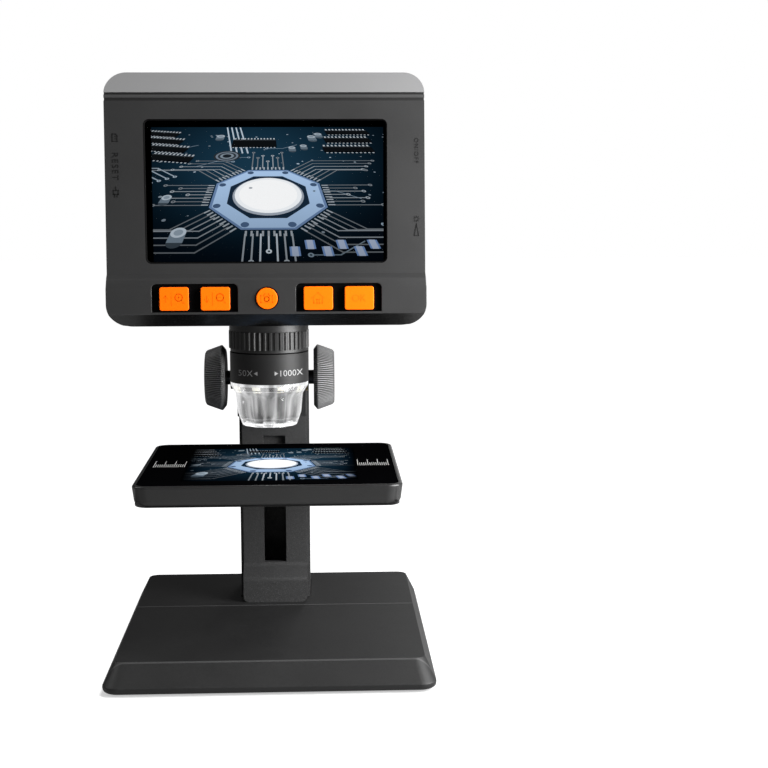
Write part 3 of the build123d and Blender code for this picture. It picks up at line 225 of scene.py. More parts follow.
def corners(node):
    """Lowest and highest corner of a piece in millimetres."""
    return [corner * 1000 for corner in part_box(node)]


def outside(at, half_wide, front, back):
    """Whether a place lies outside a rectangle that is centred on X."""
    return not (abs(at.x) < half_wide and front < at.y < back)


SEAM_HIGHLIGHT = 0.05       # how light the painted highlight on the edges at the covers' seam and at the front brim is
SEAM_LOW = 12.0         # the rubbed edge at the seam ends at this height
TOP_FIELD = (64, -70, 74)       # half width, front and back inside the flat top's edges
LIP_FIELD = (67, -78, 78)       # the same inside the lip's edges
EDGE = 0.01             # how close to a face's height counts as on it, in mm


def edge_highlight_plastic(brim):
    """The covers' plastic, with a painted highlight on the edges at the seam and at the front brim."""
    finish = Finish("base_plastic", Specular_IOR_Level=0.28)
    y, z = finish.axes()[1:]
    fine = finish.noise(0.9, 2.0)
    clouds = finish.noise(24.0, 3.0)
    dark = finish.blend(finish.spread(fine * 0.5 + clouds * 0.5), grey(0.0068), grey(0.0117))
    # painted highlight: thin lighter lines along the seam and along the front brim's edge
    seam = (y > seam_y - 0.25) * (y < seam_y + 0.7) * (z > SEAM_LOW)
    front = (y > brim - 0.5) * (y < brim + 0.2)
    finish.vary("Base Color", finish.blend(seam + front * 0.6, dark, grey(SEAM_HIGHLIGHT)))
    finish.vary("Roughness", 0.53 + (fine - 0.5) * 0.1 + (clouds - 0.5) * 0.1)
    finish.bump(fine, 0.012)
    return finish


seam_y = corners("base_front_cover")[1].y
for node in ("base_front_cover", "base_rear_cover"):
    cover = own_form(node)
    top = corners(node)[1].z
    if node == "base_front_cover":
        brim = min(vert.co.y for vert in cover.verts if vert.co.z * 1000 > top - EDGE) * 1000
        base_plastic = edge_highlight_plastic(brim)
    ease(cover, 0.5, lambda at: at.z > top - EDGE and outside(at, *TOP_FIELD))
    ease(cover, 0.35, lambda at: at.z > top - EDGE and abs(at.y - seam_y) < 0.3 and abs(at.x) < 66)
    ease(cover, 0.4, lambda at: 3.4 < at.z < 3.8 and outside(at, *LIP_FIELD))
    ease(cover, 1.9, lambda at: at.z < 0.9 and outside(at, *LIP_FIELD), 4)
    settled(cover, "moulded_" + node, "stand", base_plastic, (node,), flat=True)


# ------------------------------------------------------------------ under the base
# A flat steel weight and a painted steel plate close the base from below. Pan-head screws go up into
# the covers' bosses, and four moulded rubber feet sit in shallow seats.
def metal(name, colour, roughness, size=1.2, stretch=(1, 1, 1)):
    """Bare metal with the fine lines that the tool left."""
    finish = Finish(name, Metallic=1.0)
    lines = finish.noise(size, 3.0, stretch)
    finish.vary("Base Color", finish.blend(finish.spread(lines), tinted(colour, 0.8), tinted(colour, 1.1)))
    finish.vary("Roughness", roughness + (lines - 0.5) * 0.15)
    finish.bump(lines, 0.01)
    return finish


zinc = metal("zinc_plate", (0.62, 0.62, 0.64, 1), 0.32, 1.2, (1, 1, 6))
black_oxide = metal("black_oxide", (0.028, 0.028, 0.03, 1), 0.38, 0.6)
dress(moulded("cast_iron", grey(0.12), 0.62, 1.2, 0.05, 0.3, Metallic=0.6), "base_weight")
dress(moulded("plate_paint", grey(0.03), 0.5, 0.5, 0.02, 0.2), "bottom_plate")
dress(moulded("foot_rubber", grey(0.012), 0.78, 0.8, 0.02, 0.25), "rubber_feet")
dress(zinc, "base_screws", "stage_screws", "clamp_bolt", "clamp_washer", "column_spacers")


# ------------------------------------------------------------------ column
# A folded steel channel, powder coated black, behind a thick front plate that is bent towards the
# user at its foot. A long slot is cut through the plate, and a moulded cap closes the top.
def powder(name, colour, roughness, peel=0.9, deep=0.05):
    """Powder coat: orange peel with tiny light specks."""
    finish = Finish(name, Specular_IOR_Level=0.35)
    skin = finish.noise(peel, 2.0)
    specks = finish.noise(0.3, 1.0)
    dark = finish.blend(finish.spread(skin), tinted(colour, 0.75), colour)
    finish.vary("Base Color", finish.blend(finish.spread(specks, 0.6, 0.75), dark, tinted(colour, 2.4)))
    finish.vary("Roughness", roughness + (skin - 0.5) * 0.15)
    finish.bump(skin * 0.7 + specks * 0.3, deep)
    return finish


coat = powder("black_powder_coat", grey(0.029), 0.46)
plate_side = corners("column_front_plate")[1].x
plate = own_form("column_front_plate")
ease(plate, 0.4, lambda at: abs(at.x) > plate_side - EDGE)
settled(plate, "folded_front_plate", "stand", coat, ("column_front_plate",), flat=True)
dress(coat, "column_channel", "stage_bracket")
dress(moulded("cover_plastic", grey(0.011), 0.6, 0.5, 0.012, 0.25, Specular_IOR_Level=0.2), "column_cap")


# ------------------------------------------------------------------ carriage and gear
# An anodised block slides on a dovetail rail; a brass-bushed shaft turns a steel pinion that climbs
# the rack. A split collar on the shaft sets how stiffly the head moves.
anodised = powder("black_anodised", grey(0.012), 0.34, 0.4, 0.008)
dress(anodised, "column_rail", "carriage_block", "carriage_cover", "tension_collar")
dress(black_oxide, "column_screws", "carriage_screws", "housing_screws", "knob_shaft")
dress(metal("milled_steel", (0.5, 0.5, 0.52, 1), 0.3, 1.2, (6, 1, 1)), "gear_rack", "pinion_gear")
dress(metal("turned_brass", (0.72, 0.5, 0.2, 1), 0.3), "shaft_bushes")


# ------------------------------------------------------------------ height knobs
# Two moulded knobs on the ends of the steel shaft. Each is widest near its inner end, tapers
# outwards and is covered with fine ribs; a socket screw in its face holds it on the shaft.
KNOB_RIBS = 96
KNOB_CREST_HIGHLIGHT = 0.2        # how light the painted highlight on the crests of the ribs is
KNOB_STEPS = ((0.0, 0.0), (0.17, 0.1), (0.34, 0.6), (0.5, 1.0), (0.66, 0.6), (0.83, 0.1))


def ribbed(mesh, stations, ribs, steps):
    """Rings about Z joined to a ribbed skin; a station is a height, a radius and a rib depth. Each vertex
    keeps a weight for the painted highlight on the crests.
    """
    crest_highlight = mesh.verts.layers.float_color.get("crest_highlight") or mesh.verts.layers.float_color.new("crest_highlight")
    loops = []
    for height, radius, deep in stations:
        ring = bmesh.ops.create_circle(mesh, segments=ribs * len(steps), radius=1.0)["verts"]
        for i, vert in enumerate(ring):
            share, level = steps[i % len(steps)]
            angle = 2 * math.pi * (i // len(steps) + share) / ribs
            reach = radius - deep * level
            vert.co = mm(reach * math.cos(angle), reach * math.sin(angle), height)
            vert[crest_highlight] = (*((1 - level) ** 4 * min(1.0, deep * 2.5),) * 3, 1)
        loops.append(edges_of(ring))
    for lower, upper in zip(loops, loops[1:]):
        bmesh.ops.bridge_loops(mesh, edges=lower + upper)
    return loops


def edges_of(verts):
    """The edges that join these vertices to each other."""
    chosen = set(verts)
    return [edge for vert in verts for edge in vert.link_edges
            if edge.verts[0] == vert and edge.other_vert(vert) in chosen]


def stepped(mesh, edges, profile):
    """Carries a loop about Z on through rings of given radius and height; returns the last one."""
    for radius, height in profile:
        made = bmesh.ops.extrude_edge_only(mesh, edges=edges)["geom"]
        edges = [item for item in made if isinstance(item, bmesh.types.BMEdge)]
        for vert in (item for item in made if isinstance(item, bmesh.types.BMVert)):
            flat = Vector((vert.co.x, vert.co.y, 0)).normalized()
            vert.co = flat * radius / 1000 + mm(0, 0, height)
    return edges


def closed(mesh):
    """Merges doubles and turns the faces outwards."""
    bmesh.ops.remove_doubles(mesh, verts=mesh.verts, dist=1e-6)
    bmesh.ops.recalc_face_normals(mesh, faces=mesh.faces)


def placed(mesh, *steps):
    """Turns and moves a whole mesh, one matrix after the other."""
    for step in steps:
        bmesh.ops.transform(mesh, matrix=step, verts=mesh.verts)


knob_plastic = Finish("knob_plastic", Specular_IOR_Level=0.6)
# painted highlight: the ribs' crests are lighter, in place of the light that catches them
painted_crest_highlight = knob_plastic.node("ShaderNodeAttribute", {"attribute_name": "crest_highlight"})
fine = knob_plastic.noise(0.4, 2.0)
knob_plastic.vary("Base Color", knob_plastic.blend(painted_crest_highlight, grey(0.007), grey(KNOB_CREST_HIGHLIGHT)))
knob_plastic.vary("Roughness", 0.33 + fine * 0.1)
knob_plastic.bump(fine, 0.003)
left_low, left_high = corners("left_knob")
shaft_y = (left_low.y + left_high.y) / 2
shaft_z = (left_low.z + left_high.z) / 2
knob_radius = (left_high.z - left_low.z) / 2
knob_thick = left_high.x - left_low.x
KNOB_BORE = 3.22        # radius of the hole for the shaft
for side, inner_x, turn in (("left", left_high.x, -90), ("right", corners("right_knob")[0].x, 90)):
    knob = bmesh.new()
    skin = ribbed(knob, ((0, 12.7, 0.1), (0.3, 13.1, 0.15), (1.5, knob_radius - 0.2, 0.2),
                         (1.9, knob_radius, 0.45), (2.5, knob_radius - 0.18, 0.5),
                         (knob_thick - 1.2, 12.6, 0.5), (knob_thick - 0.5, 12.2, 0.3),
                         (knob_thick - 0.1, 11.5, 0.02)), KNOB_RIBS, KNOB_STEPS)
    face = ((11.3, knob_thick), (10.2, knob_thick), (9.7, knob_thick - 0.2), (9.4, knob_thick - 0.6),
            (KNOB_BORE, knob_thick - 0.6), (KNOB_BORE, 0))
    last = stepped(knob, skin[-1], face)
    bmesh.ops.bridge_loops(knob, edges=last + skin[0])
    closed(knob)
    placed(knob, Matrix.Rotation(math.radians(turn), 4, "Y"),
           Matrix.Translation(mm(inner_x, shaft_y, shaft_z)))
    settled(knob, side + "_ribbed_knob", "knobs", knob_plastic, (side + "_knob",), 25)
dress(zinc, "knob_screws")


# ------------------------------------------------------------------ stage
# A moulded tray on a steel bracket, with a black glass plate flush in its raised rim. The glass is
# printed from behind: a circuit board in the middle and a millimetre scale at each side.
stage_plastic = moulded("stage_plastic", grey(0.009), 0.42, 0.6, 0.02, 0.25, Specular_IOR_Level=0.4)
tray = own_form("stage_frame")
tray_low, tray_high = corners("stage_frame")
TRAY_DRAFT = 1.1        # how much narrower the tray's underside is at each side and in front
TRAY_RIM = 1.5          # what is this near the tray's outline is on its rim
TRAY_SIDE, TRAY_FRONT = 46.0, -60.0     # the draft is for what lies beyond these


def on_tray_rim(at):
    return outside(at, tray_high.x - TRAY_RIM, tray_low.y + TRAY_RIM, tray_high.y - TRAY_RIM)


ease(tray, 0.45, lambda at: at.z > tray_high.z - EDGE and on_tray_rim(at))
ease(tray, 0.4, lambda at: at.z < tray_low.z + 0.1 and on_tray_rim(at))
for vert in tray.verts:
    at = vert.co * 1000
    if on_tray_rim(at):
        inwards = TRAY_DRAFT * (tray_high.z - at.z) / (tray_high.z - tray_low.z) / 1000
        vert.co.x -= math.copysign(inwards, at.x) * (abs(at.x) > TRAY_SIDE)
        vert.co.y += inwards * (at.y < TRAY_FRONT)
settled(tray, "stage_tray", "stage", stage_plastic, ("stage_frame",), flat=True)
dress(knob_plastic, "clamp_knob")

LAYER = 0.02            # thickness of one layer of a picture, in mm
SLANT = 0.008           # how fast the drawn board narrows away from the viewer
FORESHORTENING = 0.52


class BoardPicture:
    """A circuit board seen at a slant, drawn with thin coloured plates in layers."""

    def __init__(self):
        self.mesh = bmesh.new()
        self.tint = self.mesh.verts.layers.float_color.new("tint")

    def paint(self, verts, colour):
        for vert in verts:
            vert[self.tint] = (*colour[:3], 1)

    def plate(self, middle, size, colour, layer, turn=0.0):
        matrix = Matrix.Translation((*middle, layer + 0.5)) @ Matrix.Rotation(turn, 4, "Z")
        matrix = matrix @ Matrix.Diagonal((*size, 0.9, 1))
        self.paint(bmesh.ops.create_cube(self.mesh, size=1.0, matrix=matrix)["verts"], colour)

    def disc(self, middle, radius, colour, layer, sides=20):
        matrix = Matrix.Translation((*middle, layer + 0.5)) @ Matrix.Rotation(math.pi / sides, 4, "Z")
        made = bmesh.ops.create_cone(self.mesh, cap_ends=True, segments=sides, radius1=radius,
                                     radius2=radius, depth=0.9, matrix=matrix)["verts"]
        self.paint(made, colour)

    def line(self, start, end, width, colour, layer):
        start, end = Vector(start), Vector(end)
        run = end - start
        self.plate((start + end) / 2, (run.length + width, width), colour, layer, math.atan2(run.y, run.x))

    def track(self, points, colour, width=0.55):
        """A copper track that ends in a round pad with a hole."""
        for start, end in zip(points, points[1:]):
            self.line(start, end, width, colour, 1)
        self.disc(points[-1], 0.95, tinted(colour, 1.3), 2, 12)
        self.disc(points[-1], 0.4275, (0.01, 0.02, 0.03), 3, 8)

    def chip(self, middle, size, turn, pins):
        """A black package with silver legs along its two long sides."""
        ahead = Vector((math.cos(turn), math.sin(turn)))
        aside = Vector((-ahead.y, ahead.x))
        middle = Vector(middle)
        for i in range(pins):
            along = ahead * size[0] * ((i + 0.5) / pins - 0.5)
            legs = (size[0] / pins * 0.45, size[1] + 4.5)
            self.plate(middle + along, legs, (0.42, 0.46, 0.5), 2, turn)
        self.plate(middle - Vector((0, 1.2)), (size[0] * 1.02, size[1]), (0.001, 0.001, 0.002), 3, turn)
        self.plate(middle, size, (0.004, 0.005, 0.006), 4, turn)
        self.plate(middle + aside * size[1] * 0.42, (size[0], size[1] * 0.1), (0.05, 0.06, 0.07), 5, turn)

    def can(self, middle, radius, rise):
        """An upright capacitor with a light top."""
        middle = Vector(middle)
        self.disc(middle, radius, (0.05, 0.07, 0.09), 3)
        self.plate(middle + Vector((0, rise / 2)), (radius * 2, rise), (0.12, 0.16, 0.2), 4)
        self.disc(middle + Vector((0, rise)), radius, (0.36, 0.42, 0.48), 5)
        self.disc(middle + Vector((0, rise)), radius * 0.6, (0.2, 0.25, 0.3), 6)

    def foreshorten(self):
        for vert in self.mesh.verts:
            away = 1 + SLANT * vert.co.y
            vert.co.x /= away
            vert.co.y *= FORESHORTENING / away

    def crop(self, half_wide, half_high):
        for side in (Vector((1, 0, 0)), Vector((-1, 0, 0)), Vector((0, 1, 0)), Vector((0, -1, 0))):
            edge = Vector((side.x * half_wide, side.y * half_high, 0))
            geometry = [*self.mesh.verts, *self.mesh.edges, *self.mesh.faces]
            bmesh.ops.bisect_plane(self.mesh, geom=geometry, dist=1e-5, plane_co=edge, plane_no=side,
                                   clear_outer=True)
            open_edges = [edge for edge in self.mesh.edges if edge.is_boundary]
            bmesh.ops.holes_fill(self.mesh, edges=open_edges, sides=0)

    def ground(self, half_wide, half_high, glow):
        """The board itself: dark blue with a soft glow, in one plate below the rest."""
        matrix = Matrix.Translation((0, 0, 0.5)) @ Matrix.Diagonal((half_wide * 2, half_high * 2, 0.9, 1))
        made = bmesh.ops.create_cube(self.mesh, size=1.0, matrix=matrix)["verts"]
        bmesh.ops.subdivide_edges(self.mesh, edges=edges_of(made), cuts=24, use_grid_fill=True)
        for vert in self.mesh.verts:
            if vert.co.z < 1:
                far = Vector(((vert.co.x - glow[0]) / half_wide, (vert.co.y - glow[1]) / half_high))
                level = math.exp(-1.6 * far.length * far.length)
                vert[self.tint] = (0.0006 + 0.008 * level, 0.0015 + 0.034 * level, 0.003 + 0.062 * level, 1)
            elif vert.co.z < 4 and vert[self.tint][2] > 0.05:
                vert[self.tint] = tinted(vert[self.tint], 0.8 + 0.35 * vert.co.y / half_high)


def circuit_board(half, glow):
    """A round sensor on an eight-sided carrier, with tracks, packages, cans and a coil about it."""
    picture = BoardPicture()
    draw = random.Random(5)
    carrier = ((8, 24.5, (0.16, 0.26, 0.46)), (8, 23.4, (0.42, 0.6, 0.86)), (8, 17.5, (0.01, 0.025, 0.05)),
               (40, 14.6, (0.3, 0.34, 0.4)), (40, 13.8, (0.82, 0.85, 0.88)), (40, 12.0, (0.92, 0.93, 0.94)))
    for layer, (sides, radius, colour) in enumerate(carrier, 1):
        picture.disc((0, 0.8 if layer > 4 else 0), radius, colour, layer, sides)
    picture.disc((-7.5, 5.5), 0.8, (0.35, 0.38, 0.42), 7)
    for side in range(8):
        out = Vector((math.cos(side * math.pi / 4), math.sin(side * math.pi / 4)))
        aside = Vector((-out.y, out.x))
        angle = (side + 0.5) * math.pi / 4
        picture.disc(Vector((math.cos(angle), math.sin(angle))) * 21.5, 1.5, (0.05, 0.09, 0.17), 4)
        for i in range(-4, 5):
            pin = out * 23.6 + aside * i * 1.9
            picture.line(pin, pin + out * 2, 0.7, (0.4, 0.45, 0.5), 3)
        near = 1.0 if out.y < -0.9 else 0.45
        for i in range(-3, 4):
            colour = tinted((0.62, 0.7, 0.78), near * (1.0 if abs(i) < 2 else 0.6))
            start = out * 25 + aside * i * 2.6
            bend = start + out * (8 + 2.2 * abs(i))
            if abs(out.x * out.y) > 0.1:
                end = bend + Vector((math.copysign(14 + 3 * (i + 3), out.x), 0))
                picture.track((start, bend, end), colour)
            else:
                picture.track((start, bend + out * (5 if i % 2 else 0)), colour)
    banks = (((46, 50), (3.5, 15), 3, (28, 8), 0.0, 12), ((-52, 38), (-6, 13), 4, (24, 7), -0.18, 11),
             ((-8, 60), (0, 0), 1, (26, 12), 0.0, 13), ((-64, 2), (0, 0), 1, (18, 15), 1.25, 8),
             ((-56, -22), (0, 0), 1, (17, 8), 0.4, 8), ((50, -22), (0, 0), 1, (16, 8), -0.3, 8))
    for bank, step, count, size, turn, pins in banks:
        for i in range(count):
            picture.chip(Vector(bank) + i * Vector(step), size, turn, pins)
    coil = ((7.2, (0.02, 0.025, 0.03)), (6.08, (0.16, 0.2, 0.25)), (4.96, (0.03, 0.04, 0.05)),
            (3.68, (0.2, 0.25, 0.3)), (2.4, (0.01, 0.015, 0.02)))
    for layer, (radius, colour) in enumerate(coil, 3):
        picture.disc((-22, 40), radius, colour, layer, 32)
    for x, y, radius, rise in ((58, 6, 2.4, 5), (63, 14, 2.4, 5), (-30, -29, 2.6, 5), (14, 47, 2.0, 5),
                               (21, 50, 2.0, 5), (-70, 22, 2.4, 6), (57, -14, 2.8, 5), (28, 64, 2.6, 7),
                               (33, 70, 2.4, 6), (-30, 66, 2.6, 6), (-41, -6, 2.0, 4)):
        picture.can((x, y), radius, rise)
    for i in range(4):
        picture.track(((-90, 16 + 3 * i), (-60 + 2 * i, 16 + 3 * i), (-52 + 3 * i, 10 + 2 * i)),
                      (0.3, 0.37, 0.44), 0.7)
        picture.track(((90, -8 + 3.2 * i), (48 + 3 * i, -24 + 3.2 * i), (40 + 3 * i, -20 + 3.2 * i)),
                      (0.26, 0.34, 0.42), 0.5)
        picture.line((-28 + 3 * i, 90), (-20 + 3 * i, 44), 0.9, (0.42, 0.5, 0.58), 1)
    for i in range(6):
        spot = (8 + 5 * i, -33 + i % 2 * 3)
        picture.plate(spot, (3.2, 4), (0.2, 0.34, 0.66), 2)
        picture.plate(spot, (2.0, 4.2), (0.5, 0.6, 0.8), 3)
    for i in range(90):
        spot = (draw.uniform(-80, 80), draw.uniform(-35, 80))
        if Vector(spot).length > 30:
            picture.disc(spot, draw.uniform(0.35, 0.8), tinted((0.4, 0.5, 0.6), draw.uniform(0.3, 1)), 1, 8)
    for i in range(16):
        spot = Vector((draw.uniform(-76, 76), draw.uniform(-34, 76)))
        step = Vector((draw.choice((-9, 9)), draw.choice((-6, 6))))
        if spot.length > 36:
            picture.track((spot, spot + step, spot + step + Vector((step.x, 0))), (0.2, 0.27, 0.34), 0.4)
    picture.foreshorten()
    picture.crop(*half)
    picture.ground(*half, glow)
    bmesh.ops.recalc_face_normals(picture.mesh, faces=picture.mesh.faces)
    return picture


def dark_glass(name):
    """Black glass whose gloss is a little cloudy."""
    finish = Finish(name, Base_Color=(0.0008, 0.0008, 0.001, 1), Specular_IOR_Level=0.0)
    finish.vary("Roughness", 0.16 + finish.noise(30.0, 3.0) * 0.1)
    return finish


GLASS_TOP = corners("stage_glass")[1].z
glass_print = dark_glass("printed_glass")
ink = glass_print.node("ShaderNodeAttribute", {"attribute_name": "tint"})
speckle = glass_print.noise(0.5, 2.0)
glass_print.vary("Base Color", glass_print.blend(speckle * 0.3, ink, (0.0, 0.0, 0.0, 1)))

PRINT_X = (-36.0, 37.0)         # where the print lies on the glass
PRINT_Y = (-67.0, 12.0)
PRINT_HALF = (47.0, 27.0)       # half the picture before it is stretched onto the glass
PRINT_LEVEL = 0.85              # the print is a little darker than the same board on the screen
printed = circuit_board(PRINT_HALF, (0, 6))
for vert in printed.mesh.verts:
    across = vert.co.x / PRINT_HALF[0]
    fade = PRINT_LEVEL * min(1.0, max(0.0, (1.0 - abs(across)) * 5))
    vert[printed.tint] = (*(part * fade for part in vert[printed.tint][:3]), 1)
    x = (PRINT_X[0] + PRINT_X[1]) / 2 + across * (PRINT_X[1] - PRINT_X[0]) / 2
    y = (PRINT_Y[0] + PRINT_Y[1]) / 2 + vert.co.y / PRINT_HALF[1] * (PRINT_Y[1] - PRINT_Y[0]) / 2
    vert.co = mm(x, y, GLASS_TOP + vert.co.z * LAYER / 2)
settled(printed.mesh, "stage_print", "stage", glass_print)

TICK_WHITE = (0.75, 0.75, 0.75)
TICK_Y = -34.0
TICK_WIDE = 0.2
TICK_LONG, TICK_SHORT = 14.5, 6.5
ticks = BoardPicture()
for start, step in ((-50.4, 0.89), (51.0, -0.88)):
    for i in range(16):
        long = TICK_LONG if i % 5 == 0 else TICK_SHORT
        ticks.plate((start + i * step, TICK_Y + long / 2), (TICK_WIDE, long), TICK_WHITE, 0)
for vert in ticks.mesh.verts:
    vert.co = mm(vert.co.x, vert.co.y, GLASS_TOP + vert.co.z * LAYER)
settled(ticks.mesh, "stage_scales", "stage", glass_print)
dress(dark_glass("black_glass"), "stage_glass")


# ------------------------------------------------------------------ head housing
# Three ABS mouldings: a front bezel with a bead above the screen and a key strip that stands proud,
# a deep rear shell, and a lighter grey cover over the top. Screws from behind hold them together.
POCKET_X = (12.0, 47.4)  # inner and outer side of the key pockets
POCKET_TOP = 166.9
POCKET_FLOOR = -51.6
SILL_TOP = 155.2        # the sills close the two key pockets from below
SILL_HIGH = 0.9
SILL_DEEP = 2.0
bezel_low, bezel_high = corners("front_bezel")
FACE_Y = bezel_low.y + 1.2      # the face about the screen; the key strip stands proud of it
OPENING = (52.0, 172.0, 236.0)  # half width, lower and upper limit of the screen opening's surround
DRAFT = 0.45            # how much wider the housing is at each side above the chin than at its top
CHIN_FLARE = 0.5        # how much the chin stands out further at each side
CHIN_TOP = 171.0
CHIN_RUN = 6.0          # how far below its top the chin has its full width
SIDE_X = 58.0           # the housing's walls are farther out than this
GROOVE_LOW = 241.4      # lower edge of the two grooves beside the bead
GROOVE_SIDES = (64.6, 65.1)     # the grooves' floor at the sides, in the CAD and here, almost flush
BEAD = (242.62, 243.78)


def drafted(form):
    """The housing widens downwards, and once more at the chin."""
    for height in (CHIN_TOP, CHIN_TOP - CHIN_RUN):
        bmesh.ops.bisect_plane(form, geom=form.verts[:] + form.edges[:] + form.faces[:],
                               plane_co=mm(0, 0, height), plane_no=(0, 0, 1))
    for vert in form.verts:
        down = (bezel_high.z - vert.co.z * 1000) / (bezel_high.z - CHIN_TOP)
        flare = min(1.0, max(0.0, (CHIN_TOP - vert.co.z * 1000) / CHIN_RUN))
        if abs(vert.co.x) * 1000 > SIDE_X:
            vert.co.x += math.copysign((DRAFT * down + CHIN_FLARE * flare) / 1000, vert.co.x)


bezel = own_form("front_bezel")
ease(bezel, 0.6, lambda at: abs(at.y - FACE_Y) < 0.02 and not outside(at.xzy, *OPENING))
ease(bezel, 0.4, lambda at: at.y < bezel_low.y + 0.02 and at.z < POCKET_TOP + 0.1)
ease(bezel, 0.3, lambda at: at.y < bezel_low.y + 0.02 and BEAD[0] - 0.12 < at.z < BEAD[1] + 0.12)
for vert in bezel.verts:
    at = vert.co * 1000
    if at.z > GROOVE_LOW - 0.4 and abs(abs(at.x) - GROOVE_SIDES[0]) < 0.1:
        vert.co.x = math.copysign(GROOVE_SIDES[1] / 1000, at.x)
for side in (-1, 1):
    sill = bmesh.ops.create_cube(bezel, size=1.0)["verts"]
    for vert in sill:
        far, behind, above = (part > 0 for part in vert.co)  # which corner of the bar it is
        x = POCKET_X[1] + 0.3 if far else POCKET_X[0] - 0.3
        z = SILL_TOP if above else SILL_TOP - SILL_HIGH - SILL_DEEP * behind
        vert.co = mm(side * x, bezel_low.y + SILL_DEEP * behind, z)
    if side < 0:
        bmesh.ops.reverse_faces(bezel, faces=list({face for vert in sill for face in vert.link_faces}))
drafted(bezel)
housing_plastic = moulded("housing_plastic", grey(0.0165), 0.42, 0.3, 0.004, 0.1, Specular_IOR_Level=0.5)
bezel = settled(bezel, "moulded_front_bezel", "head", housing_plastic, ("front_bezel",),
                crease=28, flat=True)
# painted shade: the key pockets and the walls of the screen opening are near black
painted_recess_shade = moulded("painted_recess_shade", grey(0.003), 0.8, 0.3, 0.004, 0.2, Specular_IOR_Level=0.02)
# painted shade: the chin's down-facing rim is darker than the housing; its gloss is real
painted_underside_shade = moulded("painted_underside_shade", grey(0.005), 0.16, 0.3, 0.002, 0.2, Specular_IOR_Level=0.6)
# painted highlight: the bead above the screen is lighter than the housing
painted_bead_highlight = moulded("painted_bead_highlight", grey(0.041), 0.36, 0.3, 0.003, 0.1, Specular_IOR_Level=0.5)
# painted shade: the grooves beside the bead are darker than the housing
painted_groove_shade = moulded("painted_groove_shade", grey(0.01), 0.6, 0.3, 0.003, 0.1, Specular_IOR_Level=0.3)
for finish in (painted_recess_shade, painted_underside_shade, painted_bead_highlight, painted_groove_shade):
    bezel.data.materials.append(finish.material)
for face in bezel.data.polygons:
    at = face.center * 1000
    inside = POCKET_X[0] < abs(at.x) < POCKET_X[1] and SILL_TOP < at.z < POCKET_TOP
    in_pocket = inside and bezel_low.y + 0.3 < at.y < POCKET_FLOOR + 0.3
    by_screen = (FACE_Y - 0.1 < at.y < FACE_Y + 2.6 and abs(face.normal.y) < 0.97
                 and abs(at.x) < OPENING[0] + 0.6 and OPENING[1] < at.z < OPENING[2] + 0.6)
    on_rim = face.normal.z < -0.2 and at.z < SILL_TOP - 0.3
    face.material_index = 2 if on_rim else int(in_pocket or by_screen)
    if at.z > GROOVE_LOW and (at.y < FACE_Y + 0.9 or abs(at.x) > 64.9):
        face.material_index = 3 if BEAD[0] < at.z < BEAD[1] else 4
rear = own_form("rear_shell")
drafted(rear)
settled(rear, "moulded_rear_shell", "head", housing_plastic, ("rear_shell",), 28)
dress(moulded("light_plastic", grey(0.235), 0.5, 0.3, 0.005, 0.03, Specular_IOR_Level=0.3), "top_cover")


# ------------------------------------------------------------------ screen
# A 4.3 inch liquid crystal panel behind a thin glass window. It glows with a magnified circuit
# board: a round sensor on a blue carrier, tracks, rows of black packages and capacitors.
window = Finish("window_glass", Base_Color=(1, 1, 1, 1), Transmission_Weight=1.0, IOR=1.02, Roughness=0.0,
                Specular_IOR_Level=0.0)
dress(window, "screen_window")
lcd_low, lcd_high = corners("lcd_panel")
LCD_X = (-46.5, 48.45)  # limits of the lit picture
LCD_Z = (175.9, 230.8)
LCD_SUNK = 0.2          # the black face lies this far behind the panel's front
lcd_finish = Finish("display", Base_Color=(0.0, 0.0, 0.0, 1), Roughness=0.5, Specular_IOR_Level=0.0,
                    Emission_Strength=1.0)
glowing = lcd_finish.node("ShaderNodeAttribute", {"attribute_name": "tint"})
cells = lcd_finish.noise(0.25, 1.0)
lcd_finish.vary("Emission Color", lcd_finish.blend(cells * 0.1, glowing, (0.0, 0.0, 0.0, 1)))
half = ((LCD_X[1] - LCD_X[0]) / 2, (LCD_Z[1] - LCD_Z[0]) / 2)
shown = circuit_board(half, (-4, 12))
for vert in shown.mesh.verts:
    vert.co = Vector((LCD_X[0] + half[0] + vert.co.x, lcd_low.y + LCD_SUNK - vert.co.z * LAYER,
                      LCD_Z[0] + half[1] + vert.co.y))
panel = bmesh.ops.create_cube(shown.mesh, size=1.0)["verts"]
shown.paint(panel, (0, 0, 0))
panel_low = Vector((lcd_low.x, lcd_low.y + LCD_SUNK, lcd_low.z))
for vert in panel:
    vert.co = Vector((low if part < 0 else high for part, low, high in zip(vert.co, panel_low, lcd_high)))
bmesh.ops.scale(shown.mesh, vec=(0.001,) * 3, verts=shown.mesh.verts)
settled(shown.mesh, "glowing_panel", "head", lcd_finish, ("lcd_panel",))
dress(metal("tray_metal", (0.6, 0.6, 0.61, 1), 0.35), "lcd_frame")
dress(moulded("green_solder_mask", (0.012, 0.13, 0.06, 1), 0.35, 2.5, 0.02, 0.4), "main_board", "key_board",
      "sensor_board")
dress(moulded("battery_wrap", (0.1, 0.18, 0.34, 1), 0.35, 4.0, 0.05, 0.2), "battery")
dress(moulded("switch_black", grey(0.02), 0.45), "key_switches", "control_bodies", "reset_switch",
      "power_slider")


# ------------------------------------------------------------------ keys
# Four square caps and one round cap of orange ABS. Each has its sign in shallow relief, and all of
# them press small switches on a board inside the chin.
ORANGE = (1.0, 0.145, 0.0, 1)
KEY_FLANK = 0.58        # a key's flank is dark up to this far in front of the key strip


